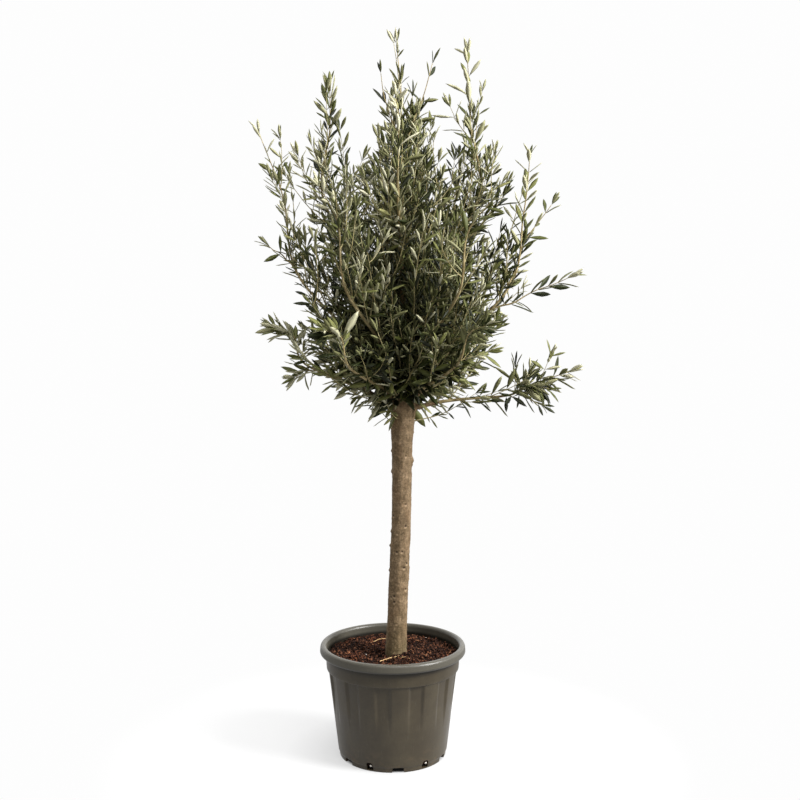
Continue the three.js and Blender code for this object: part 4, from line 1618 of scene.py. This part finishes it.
bpy.ops.object.select_all(action="DESELECT")
bpy.ops.mesh.primitive_grid_add(x_subdivisions=2, y_subdivisions=len(LEAF_ROWS) - 1, size=1)
leaf = bpy.context.active_object
row_pitch = 1 / (len(LEAF_ROWS) - 1)
open_for_edit(leaf)
for row in reversed(range(len(LEAF_ROWS))):
    at, width = LEAF_ROWS[row]
    drawn_at = row * row_pitch - 0.5
    pick_corners(leaf, lambda p: abs(p.y - drawn_at) < 0.01 and abs(p.z) < 0.01)
    bpy.ops.transform.resize(value=(width, 1, 1), center_override=(0, drawn_at, 0))
    bpy.ops.transform.translate(value=(0, at - drawn_at, 5))
pick_corners(leaf, lambda p: True)
bpy.ops.transform.translate(value=(0, 0, -5))
bpy.ops.mesh.remove_doubles(threshold=0.001)
pick_corners(leaf, lambda p: abs(p.x) < 0.01 and 0.02 < p.y < 0.98)
bpy.ops.transform.translate(value=(0, 0, -LEAF_FOLD))
bpy.ops.mesh.select_all(action="SELECT")
bpy.ops.mesh.quads_convert_to_tris()
bpy.ops.mesh.duplicate()
bpy.ops.mesh.flip_normals()
close_edit()
top_faces = len(leaf.data.polygons) // 2
print("a leaf has", 2 * top_faces, "faces")

# %% The leaf as arrays
leaf_corners = np.array([corner.co for corner in leaf.data.vertices])
leaf_faces = np.array([face.vertices for face in leaf.data.polygons])
under = np.zeros(len(leaf_corners), bool)
under[leaf_faces[top_faces:].ravel()] = True
midrib = (np.abs(leaf_corners[:, 0]) < 0.01) & (leaf_corners[:, 1] > 0.02) & (leaf_corners[:, 1] < 0.98)
leaf_corners[under & midrib, 2] -= LEAF_THICKNESS * 8
edge_match = {}
kept = []
renumber = np.zeros(len(leaf_corners), int)
for index, corner in enumerate(leaf_corners):
    key = tuple(np.round(corner, 4))
    if key not in edge_match:
        edge_match[key] = len(kept)
        kept.append(corner)
    renumber[index] = edge_match[key]
leaf_corners = np.array(kept)
leaf_faces = renumber[leaf_faces]
leaf_sides = np.array([0] * top_faces + [1] * top_faces)
if leaf.data.polygons[0].normal.z < 0:
    leaf_sides = 1 - leaf_sides
bpy.data.objects.remove(leaf)
print("closed leaf has", len(leaf_corners), "corners and", len(leaf_faces), "faces")

# %% [markdown]
# ### Leaves in pairs
# Olive leaves stand in pairs, each pair turned a quarter round from the last. They leave the shoot at half a
# right angle, wider at its foot and closer at its tip, and turn their upper face to the sky. The first half
# of a limb that shows is mostly bare, leaves low down hang a little, and pairs stand further apart near the
# top.
#
# One function walks along a shoot and writes down a row of numbers for each leaf. Leaves that would lie in
# front of a limb are left out.

# %% Deal out the leaves
leaf_random = random.Random(77)
LEAF_LENGTH = 59 * MM
PAIR_GAP = 23 * MM
TOP_PAIR_GAP = 35 * MM
LEAF_REACH = 24 * MM
LEAF_CLEARANCE = 13 * MM
TIP_BARENESS = 14
LEADER_REACH = 160 * MM
LEADER_START = 0.74
LOW_DROOP = 0.45
DROOP_FADE = 3.2
BARE_CHANCE = 0.86
MISSING_LEAVES = 0.06
# The size of the leaves on a limb, a long or filling shoot, a short one, a collar shoot and a sprout.
RANK_SIZE = [1.0, 0.84, 0.84, 1.2, 0.55]


def leaf_row(place, heading, side, angle, length, droop, broad):
    """One leaf's base, direction, upward normal, length, width and bend."""
    direction = heading * math.cos(angle) + side * math.sin(angle)
    direction.z -= droop
    direction.normalize()
    skyward = heading * 0.75 + UP * 0.7
    normal = skyward - direction * skyward.dot(direction)
    if normal.length < 0.05:
        normal = direction.cross(side)
    normal.normalize()
    normal = Matrix.Rotation(leaf_random.gauss(0, 0.8), 3, direction) @ normal
    width = length * (leaf_random.uniform(0.14, 0.19) + 0.06 * broad)
    bend = leaf_random.gauss(0.09, 0.10)
    return (*place, *direction, *normal, length, width, bend)


def is_kept(row, may_hide):
    """Whether a leaf's tip lies in the frame's box or just outside it, and its middle hides no limb."""
    base = Vector(row[0:3])
    blade = Vector(row[3:6]) * row[9]
    tip = base + blade
    sides = zip(CAD_LOW, tip, CAD_HIGH)
    near_box = all(low - LEAF_REACH < value < high + LEAF_REACH for low, value, high in sides)
    return near_box and (may_hide or not hides_a_limb(base + 0.5 * blade, LEAF_CLEARANCE))


def pair_gap(rank, share, place):
    """The way on to the next pair of leaves: longer high up and round the leader, shorter on low limbs."""
    slender = clamped((share - 0.45) / 0.15) * (1.0 if rank == 0 else 0.3)
    slender *= clamped((crown_share(place.z) - 0.35) / 0.2)
    gap = PAIR_GAP + (TOP_PAIR_GAP - PAIR_GAP) * slender
    if rank == 0 and crown_share(place.z) < 0.25:
        gap *= 0.5
    near_leader = max(0.0, 1 - from_axis(place) / LEADER_REACH)
    return gap * (1 + TIP_BARENESS * near_leader * max(0.0, crown_share(place.z) - LEADER_START))


def tip_leaves(path, turn):
    """Three small leaves round the end of a shoot."""
    rows = []
    heading = (path[-1] - path[-2]).normalized()
    for third in range(3):
        side = square_to(heading, turn + third * 2.1)
        angle = math.radians(leaf_random.uniform(6, 24))
        length = LEAF_LENGTH * leaf_random.uniform(0.55, 0.8)
        rows.append(leaf_row(path[-1], heading, side, angle, length, 0.0, 0.7))
    return rows


def leaves_on(shoot):
    """The rows of all the leaves of one shoot."""
    path = shoot["path"]
    total = path_length(path)
    rows = []
    turn = leaf_random.uniform(0, math.pi)
    size = leaf_random.uniform(0.85, 1.12) * RANK_SIZE[shoot["rank"]]
    size *= 1.0 + 0.8 * max(0.0, 0.25 - crown_share(path[0].z))
    at = (0.25 if shoot["rank"] == SPROUT_RANK else 0.08) * total + leaf_random.uniform(0, 8) * MM
    while at < total:
        share = at / total
        place = along(path, share)
        ahead = along(path, min(share + 0.05, 1))
        behind = along(path, max(share - 0.05, 0))
        heading = (ahead - behind).normalized()
        open_angle = 52 - 18 * share
        tip_size = 1.0 if share < 0.75 else 1.0 - 0.8 * (share - 0.75)
        droop = LOW_DROOP * max(0.0, 1 - DROOP_FADE * crown_share(place.z))
        is_free = (shoot["rank"] == 0 and share > 0.5) or shoot["rank"] > 2 or crown_share(place.z) < 0.2
        broad = 1.0 if is_free else 0.25
        is_shown = shoot["rank"] == 0 and shoot["name"].startswith(SHOWN_RINGS)
        bare = is_shown and share < 0.5 and leaf_random.random() < BARE_CHANCE
        for half in () if bare else (0, math.pi):
            side = square_to(heading, turn + half + leaf_random.gauss(0, 0.22))
            angle = math.radians(open_angle + leaf_random.gauss(0, 12))
            length = LEAF_LENGTH * size * tip_size * leaf_random.uniform(0.8, 1.15)
            if leaf_random.random() > MISSING_LEAVES:
                rows.append(leaf_row(place, heading, side, angle, length, droop, broad))
        turn += math.pi / 2 + leaf_random.gauss(0, 0.15)
        at += pair_gap(shoot["rank"], share, place) * leaf_random.uniform(0.8, 1.2)
    rows += tip_leaves(path, turn)
    return [row for row in rows if is_kept(row, shoot["rank"] == 0)]


# %% [markdown]
# ### Tones of the leaves
# Old leaves are deep green and young ones at the outside are pale, and the tones also carry painted shade and
# painted light. The leaves stand in sprays of one age, so a tone is dealt out to a spray, not to a leaf. As
# painted shade, the darkest tones are likeliest deep inside the crown, low down in it and somewhat near the
# top. As painted light, the palest are likeliest at the outside and on the plant's left, away from the key
# lamp. All the leaves of a tone are then built at once from their rows, which is much faster than one by one.

# %% Sort the leaves into tones
# Painted shade and painted light in the tones: darker deep inside the crown, low down and near the top, paler
# on the plant's left.
PAINTED_SHADE_DEPTH = 60 * MM
PAINTED_LIGHT_SIDE = 0.45
PAINTED_LIGHT_SIDE_WIDTH = 0.25
SPRAY_LEAVES = 14
# Each tone: its share of the sprays deep inside, its share at the outside, its upper face, its underside.
TONES = {
    "deep": (0.42, 0.02, srgb(27, 31, 11), srgb(76, 78, 46)),
    "dark": (0.32, 0.23, srgb(44, 50, 19), srgb(112, 112, 76)),
    "middle": (0.15, 0.35, srgb(76, 80, 37), srgb(154, 152, 116)),
    "light": (0.08, 0.31, srgb(108, 110, 62), srgb(184, 181, 150)),
    "young": (0.03, 0.09, srgb(138, 136, 88), srgb(202, 198, 170)),
}


def painted_shade_at(place):
    """How much painted shade a place gets: 0 at the outside, 1 deep inside and low down,
    and somewhat more than 0 near the top.
    """
    inside = clamped(depth_in_foliage(place) / PAINTED_SHADE_DEPTH)
    low = clamped(1.15 - 1.6 * crown_share(place.z))
    high = clamped(2.5 * crown_share(place.z) - 1.5)
    return min(1.0, 0.75 * inside + 0.45 * low * min(1.0, 2 * inside) + 0.5 * high)


def spray_tone(place):
    """Picks the tone of a spray. Painted shade makes the darker ones likelier deep inside the crown,
    and painted light the paler ones on the plant's left.
    """
    # Painted light: sprays on the plant's left, away from the key lamp, are paler.
    painted_light_side = clamped((CROWN_AXIS.x - place.x) / PAINTED_LIGHT_SIDE_WIDTH)
    share = painted_shade_at(place) - PAINTED_LIGHT_SIDE * painted_light_side
    weights = [max(0.0, tone[0] * share + tone[1] * (1 - share)) for tone in TONES.values()]
    return leaf_random.choices(list(TONES), weights)[0]


sprays = {name: [] for name in TONES}
for shoot in shoots:
    rows = leaves_on(shoot)
    for start in range(0, len(rows), SPRAY_LEAVES):
        spray = rows[start : start + SPRAY_LEAVES]
        sprays[spray_tone(Vector(spray[len(spray) // 2][0:3]))] += spray
for name, rows in sprays.items():
    print(len(rows), name, "leaves")


# %% Build the leaves of each tone
def leaf_mesh(name, rows):
    """All the leaves of some rows as one piece: the unit leaf stretched, folded and bent to each row."""
    rows = np.array(rows)
    base, direction, normal = rows[:, 0:3], rows[:, 3:6], rows[:, 6:9]
    length, width, bend = rows[:, 9], rows[:, 10], rows[:, 11]
    across = np.cross(direction, normal)
    x, y, z = leaf_corners.T
    sideways = width[:, None] * x[None]
    forward = length[:, None] * y[None]
    upward = width[:, None] * z[None] * 0.5 - (bend * length)[:, None] * (y**2)[None]
    corners = (
        base[:, None]
        + across[:, None] * sideways[..., None]
        + direction[:, None] * forward[..., None]
        + normal[:, None] * upward[..., None]
    )
    count = len(rows)
    faces = leaf_faces[None] + (np.arange(count) * len(leaf_corners))[:, None, None]
    return mesh_piece(name, corners.reshape(-1, 3), faces.reshape(-1, 3), np.tile(leaf_sides, count))


LEAVES_IN_A_PIECE = 6000
for name, (_, _, upper, lower) in TONES.items():
    upper_paint, _, upper_shader = new_material("leaf_" + name, 0.5, 0.25)
    upper_shader.inputs["Base Color"].default_value = upper
    lower_paint, _, lower_shader = new_material("leaf_" + name + "_under", 0.8, 0.1)
    lower_shader.inputs["Base Color"].default_value = lower
    rows = sprays[name]
    for part, start in enumerate(range(0, len(rows), LEAVES_IN_A_PIECE)):
        piece = leaf_mesh("leaves", rows[start : start + LEAVES_IN_A_PIECE])
        piece.data.materials.append(upper_paint)
        piece.data.materials.append(lower_paint)
        finish_piece(piece, f"leaves_{name}_{part + 1}", body_nodes + shoot_nodes)
